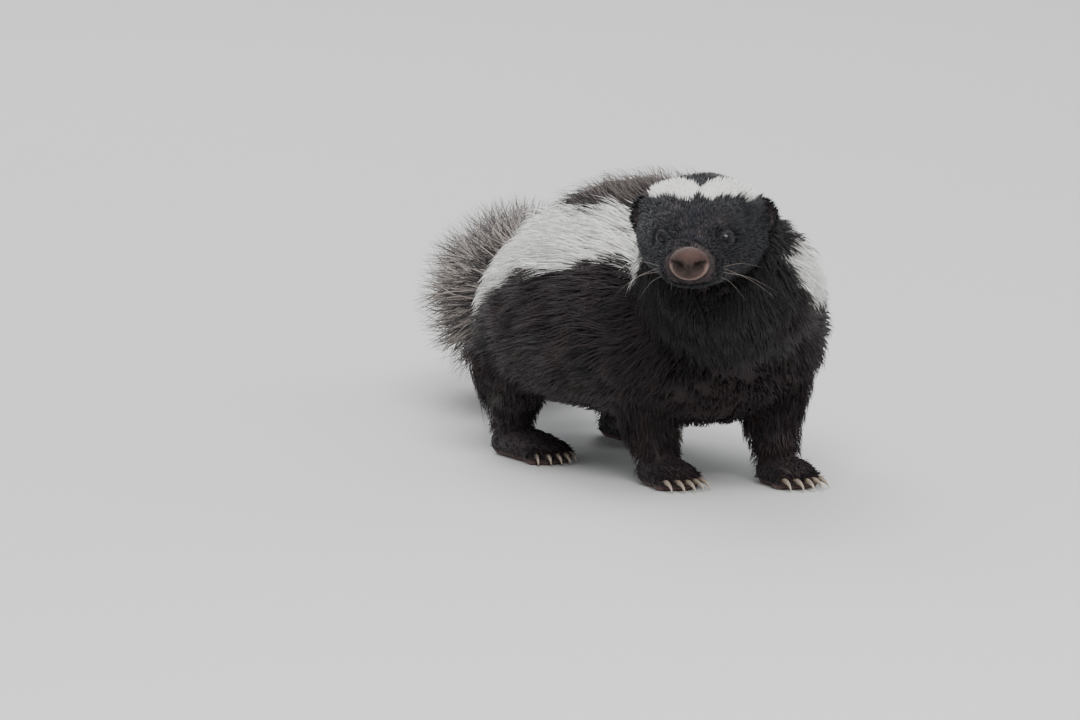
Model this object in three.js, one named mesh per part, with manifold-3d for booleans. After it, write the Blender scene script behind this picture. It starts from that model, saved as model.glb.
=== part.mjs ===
// A striped skunk standing still at life size, its head turned to its right.
// Millimetres, +Z up, the body facing -Y, the soles on z = 0. Right is the animal's own right, which is -X.
import * as THREE from "three";
import { mergeVertices } from "three/addons/utils/BufferGeometryUtils.js";
import Module from "manifold-3d";

const wasm = await Module();
wasm.setup();

// Neighbours that touch keep this much clear of each other.
const GAP = 0.35;
// Locks keep further off the legs, whose faces are large and bend sharply.
const LOCK_CLEAR = 0.9;
// Corners closer than this become one, and a join or cut closes up edges shorter than the tolerance.
const MERGE = 1e-3;
const TOLERANCE = 0.01;
const UP = new THREE.Vector3(0, 0, 1);
const AHEAD = new THREE.Vector3(0, -1, 0);
// Sections are superellipses: 2 is round, and more is squarer.
const SECTION_POWER = 2.05;
const CAP_RINGS = 3;
// Under the belly the coat thins out between these two depths below the middle of the section.
const BELLY_COAT = { share: 0.3, from: 0.5, to: 0.95 };

// Rows of a trunk run along it: x, y, z of its line, then half-width, rise above the line and drop below it,
// all out to the tips of the coat, and last how deep the coat is.
const TORSO_ROWS = [
  [-4, -110, 80, 56, 48, 44, 9],
  [-2, -82, 76, 65, 64, 46, 10],
  [0, -45, 72, 75, 78, 45, 11],
  [0, 0, 68, 79, 82, 41, 11],
  [0, 42, 62, 74, 74, 35, 11],
  [0, 78, 57, 66, 59, 31, 11],
  [1, 114, 56, 50, 44, 29, 10],
];
const NECK_ROWS = [
  [4, -42, 87, 64, 53, 48, 10],
  [-5, -82, 103, 53, 43, 50, 10],
  [-24, -111, 118, 44, 36, 45, 8],
  [-44, -130, 131, 32, 28, 34, 5],
];
const TAIL_ROWS = [
  [0, 80, 76, 28, 30, 30, 13],
  [4, 122, 74, 36, 38, 37, 18],
  [18, 162, 68, 45, 46, 43, 25],
  [36, 196, 61, 51, 51, 48, 29],
  [56, 232, 57, 52, 52, 49, 30],
  [76, 268, 56, 47, 48, 45, 27],
  [98, 312, 56, 33, 35, 33, 18],
];

// How the locks of each coat are set: spacing in millimetres, the lowest part of the section that has them,
// and one lock's length, width and thickness. Turn is the way they lie, 1 along the rows and -1 against them.
const TORSO_COAT = {
  from: 0.04, to: 0.9, rowStep: 21, across: 40, lowest: -0.68, turn: 1, droop: 0.16,
  long: 52, wide: 26, thick: 2.6, sink: 3, seed: 11,
};
const NECK_COAT = {
  from: 0.84, to: 0.2, rowStep: 21, across: 36, lowest: -1, turn: -1, droop: 0,
  long: 42, wide: 26, thick: 2.6, sink: 3, seed: 23,
};
const TAIL_COAT = {
  from: 0.09, to: 0.84, rowStep: 22, across: 23, lowest: -1, turn: 1, droop: 0,
  long: 64, wide: 21, thick: 2.6, sink: 4, seed: 37,
};

// The head is modelled facing -Y round its own centre, then placed and turned.
const HEAD_PLACE = new THREE.Vector3(-53, -140, 138);
const HEAD_TURN_DEG = -37;
const HEAD_ROWS = [
  [0, -50, -9, 11, 9, 9.5],
  [0, -40, -9.5, 15, 12, 12],
  [0, -28, -8, 19, 16.5, 15],
  [0, -14, -5, 24.5, 22, 19],
  [0, 2, -1, 29, 25, 25],
  [0, 18, 1.5, 30.5, 26, 28.5],
  [0, 34, 2.5, 28, 24, 27.5],
  [0, 45, 3, 24.5, 21, 25],
];

const group = new THREE.Group();
const animal = new THREE.Group();
group.add(animal);

// A geometry with closed surface becomes a solid, placed by a matrix if one is given.
function solid(geometry, matrix) {
  const bare = geometry.clone();
  bare.deleteAttribute("normal");
  bare.deleteAttribute("uv");
  if (matrix) bare.applyMatrix4(matrix);
  const merged = mergeVertices(bare, MERGE);
  return new wasm.Manifold(
    new wasm.Mesh({
      numProp: 3,
      vertProperties: merged.attributes.position.array,
      triVerts: new Uint32Array(merged.index.array),
      tolerance: TOLERANCE,
    }),
  );
}

// The largest closed surface of a solid, with any sealed hollow filled and any loose scrap dropped. The first
// pass can leave corners that merge into a new hollow, so there is a second.
function largest(made) {
  const biggest = (whole) => whole.decompose().reduce((best, body) => (
    body.volume() > best.volume() ? body : best));
  return biggest(solid(geometryOf(biggest(made))));
}

function geometryOf(made) {
  const mesh = made.getMesh();
  const places = new Float32Array(mesh.numVert * 3);
  for (let i = 0; i < mesh.numVert; i++) {
    places.set(mesh.vertProperties.subarray(i * mesh.numProp, i * mesh.numProp + 3), i * 3);
  }
  const geometry = new THREE.BufferGeometry();
  geometry.setAttribute("position", new THREE.BufferAttribute(places, 3));
  geometry.setIndex(new THREE.BufferAttribute(mesh.triVerts, 1));
  geometry.computeVertexNormals();
  return geometry;
}

function matrixOf(position, turn = new THREE.Quaternion(), size = new THREE.Vector3(1, 1, 1)) {
  return new THREE.Matrix4().compose(position, turn, size);
}

// The line and sizes of a rowed form, read at any share of its length. Level 1 is out at the tips of the coat
// and level 0 is the core under it.
class Form {
  constructor(rows, { reference = UP, startCap = 0, endCap = 0, power = SECTION_POWER, underCoat = 1 } = {}) {
    const curve = (pick) => new THREE.CatmullRomCurve3(rows.map(pick), false, "catmullrom", 0.5);
    this.line = curve(([x, y, z]) => new THREE.Vector3(x, y, z));
    this.sizes = curve(([, , , side, rise, drop]) => new THREE.Vector3(side, rise, drop));
    this.coat = curve((row) => new THREE.Vector3(row[6] ?? 0, 0, 0));
    this.length = this.line.getLength();
    this.reference = reference;
    this.startCap = startCap;
    this.endCap = endCap;
    this.power = power;
    this.underCoat = underCoat;
  }

  // Where the form starts and ends along its line once it is shrunk to a level and grown by a gap.
  ends(level, grow) {
    const inset = (t) => this.coat.getPoint(t).x * (1 - level) - grow;
    const start = this.startCap ? inset(0) : 0;
    const finish = this.length - (this.endCap ? inset(1) : 0);
    return { start, finish, startCap: this.startCap - start, endCap: this.endCap - (this.length - finish) };
  }

  // Centre, directions and sizes at a share of the length.
  at(share, level = 1, grow = 0) {
    const { start, finish, startCap, endCap } = this.ends(level, grow);
    const distance = THREE.MathUtils.lerp(start, finish, share);
    const onLine = THREE.MathUtils.clamp(distance, 0, this.length);
    const t = this.line.getUtoTmapping(onLine / this.length);
    const along = this.line.getTangent(t);
    const centre = this.line.getPoint(t).addScaledVector(along, distance - onLine);
    const side = new THREE.Vector3().crossVectors(this.reference, along).normalize();
    const up = new THREE.Vector3().crossVectors(along, side).normalize();
    const taper = roundEnd(distance - start, this.startCap && startCap)
      * roundEnd(finish - distance, this.endCap && endCap);
    return { centre, along, side, up, sizes: this.sizes.getPoint(t), coat: this.coat.getPoint(t).x, taper };
  }

  // A point of the surface at an angle round the section, 0 at the side and a quarter turn at the top.
  point(share, angle, level = 1, grow = 0) {
    const { centre, side, up, sizes, coat, taper } = this.at(share, level, grow);
    const c = Math.cos(angle);
    const s = Math.sin(angle);
    const under = THREE.MathUtils.smoothstep(-s, BELLY_COAT.from, BELLY_COAT.to);
    const shift = grow - coat * (1 - level) * THREE.MathUtils.lerp(1, this.underCoat, under);
    const across = Math.sign(c) * Math.abs(c) ** (2 / this.power) * (sizes.x + shift) * taper;
    const upright = Math.sign(s) * Math.abs(s) ** (2 / this.power);
    const height = upright * ((s > 0 ? sizes.y : sizes.z) + shift) * taper;
    return centre.addScaledVector(side, across).addScaledVector(up, height);
  }

  // Shares of the length where the rings go, closer together in the rounded ends.
  shares(rings, level, grow) {
    const { start, finish, startCap, endCap } = this.ends(level, grow);
    const first = this.startCap && startCap / (finish - start);
    const last = this.endCap && endCap / (finish - start);
    const capShares = [...Array(CAP_RINGS).keys()].map(
      (i) => 1 - Math.cos((((i + 1) / (CAP_RINGS + 1)) * Math.PI) / 2));
    const shares = first ? capShares.map((share) => first * share) : [];
    for (let i = 0; i <= rings; i++) shares.push(first + (i / rings) * (1 - first - last));
    if (last) shares.push(...capShares.reverse().map((share) => 1 - last * share));
    return shares;
  }

  // The closed surface, with each ring's point moved by an optional shaping function.
  geometry({ rings, sides, level = 1, grow = 0, shape = (p) => p }) {
    const shares = this.shares(rings, level, grow);
    const places = [...this.at(0, level, grow).centre.toArray()];
    for (const share of shares) {
      for (let k = 0; k < sides; k++) {
        places.push(...shape(this.point(share, (k / sides) * 2 * Math.PI, level, grow)).toArray());
      }
    }
    places.push(...this.at(1, level, grow).centre.toArray());
    return ringed(places, shares.length, sides);
  }
}

// How much of the full section is left at a distance from a rounded end.
function roundEnd(distance, cap) {
  if (!cap || distance >= cap) return 1;
  return Math.sqrt(Math.max(0, 1 - (1 - distance / cap) ** 2));
}

// A closed surface from a start point, rings of points and an end point.
function ringed(places, rings, sides) {
  const faces = [];
  const index = (ring, k) => 1 + ring * sides + (k % sides);
  const end = 1 + rings * sides;
  for (let k = 0; k < sides; k++) {
    faces.push(0, index(0, k + 1), index(0, k));
    faces.push(end, index(rings - 1, k), index(rings - 1, k + 1));
    for (let ring = 0; ring + 1 < rings; ring++) {
      faces.push(index(ring, k), index(ring + 1, k + 1), index(ring + 1, k));
      faces.push(index(ring, k), index(ring, k + 1), index(ring + 1, k + 1));
    }
  }
  const geometry = new THREE.BufferGeometry();
  geometry.setAttribute("position", new THREE.Float32BufferAttribute(places, 3));
  geometry.setIndex(faces);
  return geometry;
}

// An ellipsoid with few faces.
function egg(centre, radii, turn, wide = 10, high = 7) {
  return solid(new THREE.SphereGeometry(1, wide, high), matrixOf(centre, turn, radii));
}

// A tapered tube of round section along a line of points.
function tapered(points, startRadius, endRadius, steps, sides) {
  const rows = points.map((p, i) => {
    const radius = THREE.MathUtils.lerp(startRadius, endRadius, i / (points.length - 1));
    return [p.x, p.y, p.z, radius, radius, radius];
  });
  return solid(new Form(rows, { reference: UP, power: 2 }).geometry({ rings: steps, sides }));
}

function addMesh(parent, name, geometry, material) {
  const mesh = new THREE.Mesh(geometry, material);
  mesh.name = name;
  parent.add(mesh);
  return mesh;
}

const black = new THREE.MeshStandardMaterial({ color: 0x17141a, roughness: 0.75 });
const brownBlack = new THREE.MeshStandardMaterial({ color: 0x1d171a, roughness: 0.8 });
const skinPink = new THREE.MeshStandardMaterial({ color: 0x8a5b50, roughness: 0.45 });
const eyeBlack = new THREE.MeshStandardMaterial({ color: 0x07060a, roughness: 0.05 });

const torsoForm = new Form(TORSO_ROWS, { startCap: 52, endCap: 60, underCoat: BELLY_COAT.share });
const neckForm = new Form(NECK_ROWS, { endCap: 14, power: 2 });
const tailForm = new Form(TAIL_ROWS, { startCap: 6, endCap: 44, power: 2 });
const headForm = new Form(HEAD_ROWS, { startCap: 3, endCap: 24, power: 2.1 });

const headMatrix = matrixOf(
  HEAD_PLACE, new THREE.Quaternion().setFromAxisAngle(UP, THREE.MathUtils.degToRad(HEAD_TURN_DEG)));

// Eyes, lids, nose pad, nostrils, mouth and ears, in the head's own frame; side is +1 for the animal's left.
// Points are x, y, z on the animal's left. Those of a nostril are counted from the pad's centre.
const EYE = { x: 15, y: -24, z: 0.8, radius: 4.3, clear: 0.5, outwardDeg: 38, upDeg: 6 };
const LID = { thick: 1.2, openWide: 3.7, openHigh: 2.7, openDeep: 4 };
const NOSE = { y: -49.5, z: -8.6, wide: 9.8, high: 8.2, deep: 6.2 };
const NOSTRIL = { points: [[3.2, -7.5, -1], [4.6, -2.2, -0.4]], mouth: 2.3, back: 1.2 };
const NOSTRIL_SLIT = { points: [[4, -6.2, -1.2], [9.4, -3.6, -0.2]], mouth: 1.5, back: 0.8 };
const CLEFT = { points: [[0, -6.6, -2], [0, -3.6, -8]], mouth: 0.5, back: 0.7 };
const EAR = {
  x: 29.5, y: 15, z: 7, wide: 8.5, high: 9, deep: 7, wall: 1.9, outwardDeg: 42, rise: 0.08, cutAt: 0.8,
};
const MOUTH = [[0, -50.5, -19.4], [5, -48, -19.2], [10, -42, -18.6], [14.5, -33, -17], [18.5, -22, -14.5]];
const MOUTH_LINE = { front: 0.75, back: 0.6 };
const LIP = { front: 2.1, back: 1.6, inward: 0.8, behind: 1, above: 1.6 };

function eyeDirection(side) {
  const out = THREE.MathUtils.degToRad(EYE.outwardDeg);
  const up = THREE.MathUtils.degToRad(EYE.upDeg);
  return new THREE.Vector3(side * Math.sin(out) * Math.cos(up), -Math.cos(out) * Math.cos(up), Math.sin(up));
}

function eyePlace(side) {
  return new THREE.Vector3(side * EYE.x, EYE.y, EYE.z);
}

// Brow, cheek and hollow shapes: a soft push along the line from the head's axis.
const HEAD_AXIS_Z = -2;
const HEAD_BUMPS = [
  { x: 15, y: -19, z: 9, reach: 8, push: 1.8 },
  { x: 11, y: -35, z: -2, reach: 6, push: -1 },
  { x: 28, y: 2, z: -12, reach: 14, push: 2.2 },
  { x: 11, y: -42, z: -14, reach: 7, push: 1.4 },
];
function shapeHead(p) {
  const axis = new THREE.Vector3(0, p.y, HEAD_AXIS_Z);
  const outward = p.clone().sub(axis).normalize();
  for (const bump of HEAD_BUMPS) {
    for (const side of [-1, 1]) {
      const distance = p.distanceTo(new THREE.Vector3(side * bump.x, bump.y, bump.z));
      p.addScaledVector(outward, bump.push * Math.exp(-((distance / bump.reach) ** 2)));
    }
  }
  return p;
}

const HEAD_DETAIL = { rings: 13, sides: 22 };
function headShell(grow) {
  return solid(headForm.geometry({ ...HEAD_DETAIL, grow, shape: shapeHead }));
}

// The nose pad: a broad rounded pad with two comma-shaped nostrils and a short cleft below.
function nosePad(grow) {
  const place = new THREE.Vector3(0, NOSE.y, NOSE.z);
  const radii = new THREE.Vector3(NOSE.wide + grow, NOSE.deep + grow, NOSE.high + grow);
  return egg(place, radii, undefined, 18, 11);
}

function nostrils() {
  const cuts = [];
  for (const side of [-1, 1]) {
    for (const { points, mouth, back } of [NOSTRIL, NOSTRIL_SLIT, CLEFT]) {
      const line = points.map(([x, y, z]) => new THREE.Vector3(side * x, NOSE.y + y, NOSE.z + z));
      cuts.push(tapered(line, mouth, back, 2, 6));
    }
  }
  return wasm.Manifold.union(cuts);
}

// One ear: a short round cup that opens forward and outward.
function earPose(side) {
  const out = THREE.MathUtils.degToRad(EAR.outwardDeg);
  const opening = new THREE.Vector3(side * Math.sin(out), -Math.cos(out), EAR.rise).normalize();
  const across = new THREE.Vector3().crossVectors(UP, opening).normalize();
  const turn = new THREE.Quaternion().setFromRotationMatrix(
    new THREE.Matrix4().makeBasis(across, opening, new THREE.Vector3().crossVectors(across, opening)));
  return { place: new THREE.Vector3(side * EAR.x, EAR.y, EAR.z), opening, turn };
}

function earOuter(side, grow) {
  const { place, turn } = earPose(side);
  return egg(place, new THREE.Vector3(EAR.wide + grow, EAR.deep + grow, EAR.high + grow), turn, 16, 12);
}

function ear(side) {
  const { place, opening, turn } = earPose(side);
  const outer = earOuter(side, 0);
  const inside = place.clone().addScaledVector(opening, EAR.wall * 1.2);
  const inner = egg(
    inside, new THREE.Vector3(EAR.wide - EAR.wall, EAR.deep - EAR.wall, EAR.high - EAR.wall), turn, 14, 10);
  const block = 4 * EAR.high;
  const front = solid(
    new THREE.BoxGeometry(block, block, block),
    matrixOf(place.clone().addScaledVector(opening, EAR.cutAt + block / 2), turn));
  return outer.subtract(inner).subtract(front);
}

function lidOpening(side) {
  const place = eyePlace(side).addScaledVector(eyeDirection(side), EYE.radius);
  return egg(place, new THREE.Vector3(LID.openWide, LID.openHigh, LID.openDeep), turnLid(side), 12, 8);
}

// The opening's long way runs level across the eye.
function turnLid(side) {
  const direction = eyeDirection(side);
  const across = new THREE.Vector3().crossVectors(UP, direction).normalize();
  const up = new THREE.Vector3().crossVectors(direction, across);
  return new THREE.Quaternion().setFromRotationMatrix(new THREE.Matrix4().makeBasis(across, up, direction));
}

function buildHead() {
  let made = headShell(0);
  for (const side of [-1, 1]) {
    const lid = new THREE.Vector3().setScalar(EYE.radius + LID.thick);
    made = made.add(egg(eyePlace(side), lid, turnLid(side), 14, 10));
  }
  const mouthPoints = (side) => MOUTH.map(([x, y, z]) => new THREE.Vector3(side * x, y, z));
  for (const side of [-1, 1]) {
    const shift = new THREE.Vector3(-side * LIP.inward, LIP.behind, LIP.above);
    const lip = mouthPoints(side).map((p) => p.clone().add(shift));
    made = made.add(tapered(lip, LIP.front, LIP.back, 5, 6));
  }
  for (const side of [-1, 1]) {
    made = made.subtract(tapered(mouthPoints(side), MOUTH_LINE.front, MOUTH_LINE.back, 5, 4));
    made = made.subtract(lidOpening(side));
    const socket = new THREE.Vector3().setScalar(EYE.radius + EYE.clear);
    made = made.subtract(egg(eyePlace(side), socket, turnLid(side), 14, 10));
  }
  return largest(made.subtract(nosePad(GAP)));
}

const headSolid = buildHead();
const headGrown = headShell(GAP);
const headInWorld = wasm.Manifold.union([headGrown, earOuter(-1, GAP), earOuter(1, GAP)]).transform(
  headMatrix.elements);

// Legs run down from inside the body to a flat sole on the floor.
// Their rows: share of the way from shoulder or hip to ankle, shift along the body, height, then three sizes.
const FORE = {
  rows: [
    [0, 0, 78, 25, 24, 26],
    [0.25, 3, 54, 21, 21, 22],
    [0.7, 3, 30, 14.5, 14.5, 15],
    [1, 0, 15, 11, 11.5, 11],
    [1, -2, 4, 10, 11.5, 10.5],
  ],
  paw: { long: 34, wide: 11.5, high: 8, heelBack: 9 },
  claw: { long: 11, root: 1.5, tip: 0.4 },
};
const HIND = {
  rows: [
    [0, 0, 74, 27, 34, 33],
    [0.3, -3, 52, 25, 30, 31],
    [0.8, 4, 31, 16, 18, 18],
    [1, 6, 17, 11, 12, 12],
    [1, 4, 5, 10, 12, 11],
  ],
  paw: { long: 54, wide: 11.5, high: 8, heelBack: 17 },
  claw: { long: 6, root: 1.5, tip: 0.5 },
};
const SHOULDER_CAP = 26;
const TOE = { count: 5, inFromEdge: 1.8, ahead: -1.5, arc: 4.5, z: 3.4, radii: [2.9, 5.6, 4.2], splay: 0.6 };
// Height of a claw at its root, half way and at its tip, and how far ahead of the toe's middle it leaves.
const CLAW = { heights: [4.6, 4.4, 1.6], leaves: 4, sunk: 2.5 };
// The foot is cut off flat at the floor by this much below its line.
const FOOT_DROP = 9;
const LEGS = [
  { name: "foreleg_right", kind: FORE, top: [-34, -60], ankle: [-29, -58] },
  { name: "foreleg_left", kind: FORE, top: [36, -66], ankle: [25, -84] },
  { name: "hindleg_right", kind: HIND, top: [-46, 60], ankle: [-41, 62] },
  { name: "hindleg_left", kind: HIND, top: [45, 70], ankle: [38, 88] },
];

function legTube({ kind, top, ankle }, grow = 0) {
  const rows = kind.rows.map(([share, shift, z, ...sizes]) => [
    THREE.MathUtils.lerp(top[0], ankle[0], share),
    THREE.MathUtils.lerp(top[1], ankle[1], share) + shift,
    z,
    ...sizes,
  ]);
  const form = new Form(rows, { reference: AHEAD, startCap: SHOULDER_CAP, power: 2 });
  return solid(form.geometry({ rings: 5, sides: 10, grow }));
}

function footPad({ kind, ankle }) {
  const { long, wide, high, heelBack } = kind.paw;
  const heel = ankle[1] + heelBack;
  const rows = [
    [ankle[0], heel, high - 1.5, wide - 2.5, high - 2, FOOT_DROP],
    [ankle[0], heel - long / 2, high - 1, wide, high, FOOT_DROP],
    [ankle[0], heel - long, high - 2, wide + 0.5, high - 2, FOOT_DROP],
  ];
  return solid(new Form(rows, { startCap: high, endCap: high }).geometry({ rings: 3, sides: 8 }));
}

// A toe and its claw; across runs from -1 on the animal's right of the foot to 1 on its left.
function toe({ kind, ankle }, across) {
  const { long, wide, heelBack } = kind.paw;
  const x = ankle[0] + across * (wide - TOE.inFromEdge);
  const y = ankle[1] + heelBack - long - TOE.ahead + TOE.arc * across ** 2;
  const pad = egg(new THREE.Vector3(x, y, TOE.z), new THREE.Vector3(...TOE.radii), undefined, 6, 4);
  const reaches = [-CLAW.sunk, -CLAW.leaves - kind.claw.long / 2, -CLAW.leaves - kind.claw.long];
  const line = reaches.map(
    (reach, i) => new THREE.Vector3(x + i * across * TOE.splay, y + reach, CLAW.heights[i]));
  return pad.add(tapered(line, kind.claw.root, kind.claw.tip, 2, 3));
}

function buildLeg(leg) {
  const toes = [...Array(TOE.count).keys()].map((i) => toe(leg, (2 * i) / (TOE.count - 1) - 1));
  const block = 10 * leg.kind.paw.long;
  const [x, y] = leg.ankle;
  const place = matrixOf(new THREE.Vector3(x, y, -block / 2));
  const below = solid(new THREE.BoxGeometry(block, block, block), place);
  return wasm.Manifold.union([legTube(leg), footPad(leg), ...toes]).subtract(below);
}

// Numbers from 0 to 1 that are the same on each run.
function seeded(seed) {
  let state = seed;
  return () => {
    state = (state * 1664525 + 1013904223) % 2 ** 32;
    return state / 2 ** 32;
  };
}

// One lock: a flat blade with a lens section that rises from under the core to the tips as it lies back.
const LOCK_STEPS = [0, 0.34, 0.68];
const LOCK_WIDTHS = [0.7, 1, 0.72];
// Corners of the lens as shares of the width and thickness; its edges droop round the body.
const LENS = [[0.5, -0.15], [0, 0.55], [-0.5, -0.15], [0, -0.6]];
const WALK = { steps: 6, probe: 0.01, last: 0.985, probeAngle: 0.05 };
function lock(form, { share, angle, droop, turn, long, wide, thick, sink, tip }) {
  const station = (step) => {
    const level = THREE.MathUtils.lerp(-sink / form.at(share).coat, tip, step);
    const round = angle - droop * Math.cos(angle) * step;
    let place = share;
    for (let i = 0; i < WALK.steps; i++) {
      const pace = form.point(place, round).distanceTo(form.point(place + WALK.probe, round)) / WALK.probe;
      place = THREE.MathUtils.clamp(place + (turn * long * step) / WALK.steps / pace, 0, WALK.last);
    }
    const centre = form.point(place, round, level);
    const across = form.point(place, round + WALK.probeAngle).sub(form.point(place, round - WALK.probeAngle));
    const outward = form.point(place, round, 1).sub(form.point(place, round, 0));
    return { centre, across: across.normalize(), outward: outward.normalize() };
  };
  const places = [...station(0).centre.toArray()];
  LOCK_STEPS.forEach((step, i) => {
    const { centre, across, outward } = station(step);
    for (const [x, y] of LENS) {
      const p = centre.clone().addScaledVector(across, -turn * x * wide * LOCK_WIDTHS[i]);
      places.push(...p.addScaledVector(outward, y * thick).toArray());
    }
  });
  places.push(...station(1).centre.toArray());
  return solid(ringed(places, LOCK_STEPS.length, LENS.length));
}

// Rows of locks over a form, each row half a step round from the one before. Spreads are shares of each size.
const SPREAD = { size: 0.15, along: 0.4, round: 0.35, tip: 0.05 };
const TIP_LEVEL = 0.95;
const FEWEST_ROUND = 5;
function coatOf(form, { from, to, rowStep, across, lowest, seed, ...shape }) {
  const random = seeded(seed);
  const vary = (size, spread) => size * (1 + (random() * 2 - 1) * spread);
  const rows = Math.round((Math.abs(to - from) * form.length) / rowStep);
  const locks = [];
  for (let row = 0; row <= rows; row++) {
    const share = THREE.MathUtils.lerp(from, to, row / rows);
    const { sizes, coat, taper } = form.at(share);
    const radius = Math.hypot(sizes.x - coat, (sizes.y + sizes.z) / 2 - coat) * Math.SQRT1_2 * taper;
    const girth = 2 * Math.PI * radius;
    const count = Math.max(FEWEST_ROUND, Math.round(girth / across));
    for (let i = 0; i < count; i++) {
      const angle = ((i + (row % 2) / 2 + (random() - 0.5) * SPREAD.round) / count) * 2 * Math.PI;
      if (Math.sin(angle) < lowest) continue;
      locks.push(lock(form, {
        ...shape,
        share: share + ((random() - 0.5) * rowStep * SPREAD.along) / form.length,
        angle,
        long: vary(shape.long, SPREAD.size),
        wide: vary(shape.wide, SPREAD.size),
        tip: vary(TIP_LEVEL, SPREAD.tip),
      }));
    }
  }
  return wasm.Manifold.union(locks);
}

const DETAIL = {
  torso: { rings: 8, sides: 20 },
  neck: { rings: 6, sides: 18 },
  tail: { rings: 9, sides: 12 },
};
const core = (form, detail, grow = 0) => solid(form.geometry({ ...detail, level: 0, grow }));
const full = (form, detail) => solid(form.geometry({ ...detail, grow: GAP }));
const torsoGrown = core(torsoForm, DETAIL.torso, GAP);
const neckGrown = core(neckForm, DETAIL.neck, GAP);
const legSolids = LEGS.map((leg) => buildLeg(leg));
const legsGrown = wasm.Manifold.union(LEGS.map((leg) => legTube(leg, LOCK_CLEAR)));

const torsoLocks = coatOf(torsoForm, TORSO_COAT)
  .subtract(full(neckForm, DETAIL.neck)).subtract(full(tailForm, DETAIL.tail)).subtract(legsGrown);
const neckLocks = coatOf(neckForm, NECK_COAT).subtract(legsGrown);
const tailLocks = coatOf(tailForm, TAIL_COAT);
const torsoSolid = core(torsoForm, DETAIL.torso).add(torsoLocks);
const neckSolid = core(neckForm, DETAIL.neck).add(neckLocks).subtract(torsoGrown).subtract(headInWorld);
const tailSolid = core(tailForm, DETAIL.tail).add(tailLocks).subtract(torsoGrown);

addMesh(animal, "torso", geometryOf(largest(torsoSolid)), brownBlack);
addMesh(animal, "neck", geometryOf(largest(neckSolid)), brownBlack);
addMesh(animal, "tail", geometryOf(largest(tailSolid)), brownBlack);
LEGS.forEach((leg, i) => {
  const made = legSolids[i].subtract(torsoGrown).subtract(neckGrown);
  addMesh(animal, leg.name, geometryOf(largest(made)), black);
});

const head = new THREE.Group();
head.position.copy(HEAD_PLACE);
head.rotation.z = THREE.MathUtils.degToRad(HEAD_TURN_DEG);
animal.add(head);
addMesh(head, "head", geometryOf(headSolid), black);
addMesh(head, "nose", geometryOf(largest(nosePad(0).subtract(nostrils()))), skinPink);
for (const [label, side] of [["right", -1], ["left", 1]]) {
  const eye = addMesh(head, "eye_" + label, new THREE.SphereGeometry(EYE.radius, 13, 9), eyeBlack);
  eye.position.copy(eyePlace(side));
  addMesh(head, "ear_" + label, geometryOf(largest(ear(side).subtract(headGrown))), black);
}

// The origin is the middle of the object's footprint, on the floor.
group.updateMatrixWorld(true);
const box = new THREE.Box3().setFromObject(animal, true);
const middle = box.getCenter(new THREE.Vector3());
animal.position.set(-middle.x, -middle.y, 0);

export default group;
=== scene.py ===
"""A still, life-size striped skunk: one skin under a full coat of fur, eyes, nose, claws and whiskers.

Places on the animal are in millimetres in its own design frame, the one that its forms were drawn in. place()
moves them into the model's frame, in metres. Right means the animal's own right, which is -X.
"""

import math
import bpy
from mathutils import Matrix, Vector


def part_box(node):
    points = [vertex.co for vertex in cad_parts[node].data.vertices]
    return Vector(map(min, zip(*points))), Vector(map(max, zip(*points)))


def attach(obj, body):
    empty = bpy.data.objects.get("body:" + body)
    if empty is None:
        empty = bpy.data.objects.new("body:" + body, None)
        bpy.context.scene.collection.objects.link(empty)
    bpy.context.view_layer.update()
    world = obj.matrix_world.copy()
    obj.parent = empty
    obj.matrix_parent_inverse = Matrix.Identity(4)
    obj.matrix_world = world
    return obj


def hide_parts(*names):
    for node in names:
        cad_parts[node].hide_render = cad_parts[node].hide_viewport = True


bl_info = {
    "name": "Striped skunk",
    "version": (1, 0, 0),
    "blender": (4, 5, 0),
    "location": "3D View > Sidebar > Skunk",
    "description": "Builds a still striped skunk with a full coat, and a plain studio round it",
    "category": "Object",
}

import bmesh
import bpy
import numpy as np
from bpy.props import FloatProperty, FloatVectorProperty, IntProperty, PointerProperty
from mathutils import Vector

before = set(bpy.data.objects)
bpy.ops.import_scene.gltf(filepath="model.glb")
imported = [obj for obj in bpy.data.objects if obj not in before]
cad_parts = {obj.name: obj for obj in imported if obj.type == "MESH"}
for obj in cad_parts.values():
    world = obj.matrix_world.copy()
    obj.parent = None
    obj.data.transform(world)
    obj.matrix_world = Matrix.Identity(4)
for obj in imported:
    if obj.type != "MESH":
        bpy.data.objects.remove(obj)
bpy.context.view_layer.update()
MM = 0.001
QUARTER = math.pi / 2

# Rows of a form run along it: x, y, z of its line, then half-width, rise above the line and drop below it,
# all out to the tips of the coat, and last how deep the coat is.
TORSO_ROWS = [
    (-4, -110, 80, 56, 48, 44, 9),
    (-2, -82, 76, 65, 64, 46, 10),
    (0, -45, 72, 75, 78, 45, 11),
    (0, 0, 68, 79, 82, 41, 11),
    (0, 42, 62, 74, 74, 35, 11),
    (0, 78, 57, 66, 59, 31, 11),
    (1, 114, 56, 50, 44, 29, 10),
]
NECK_ROWS = [
    (4, -42, 87, 64, 53, 48, 10),
    (-5, -82, 103, 53, 43, 50, 10),
    (-24, -111, 118, 44, 36, 45, 8),
    (-44, -130, 131, 32, 28, 34, 5),
]
TAIL_ROWS = [
    (0, 80, 76, 28, 30, 30, 13),
    (4, 122, 74, 36, 38, 37, 18),
    (18, 162, 68, 45, 46, 43, 25),
    (36, 196, 61, 51, 51, 48, 29),
    (56, 232, 57, 52, 52, 49, 30),
    (76, 268, 56, 47, 48, 45, 27),
    (98, 312, 56, 33, 35, 33, 18),
]
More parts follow.
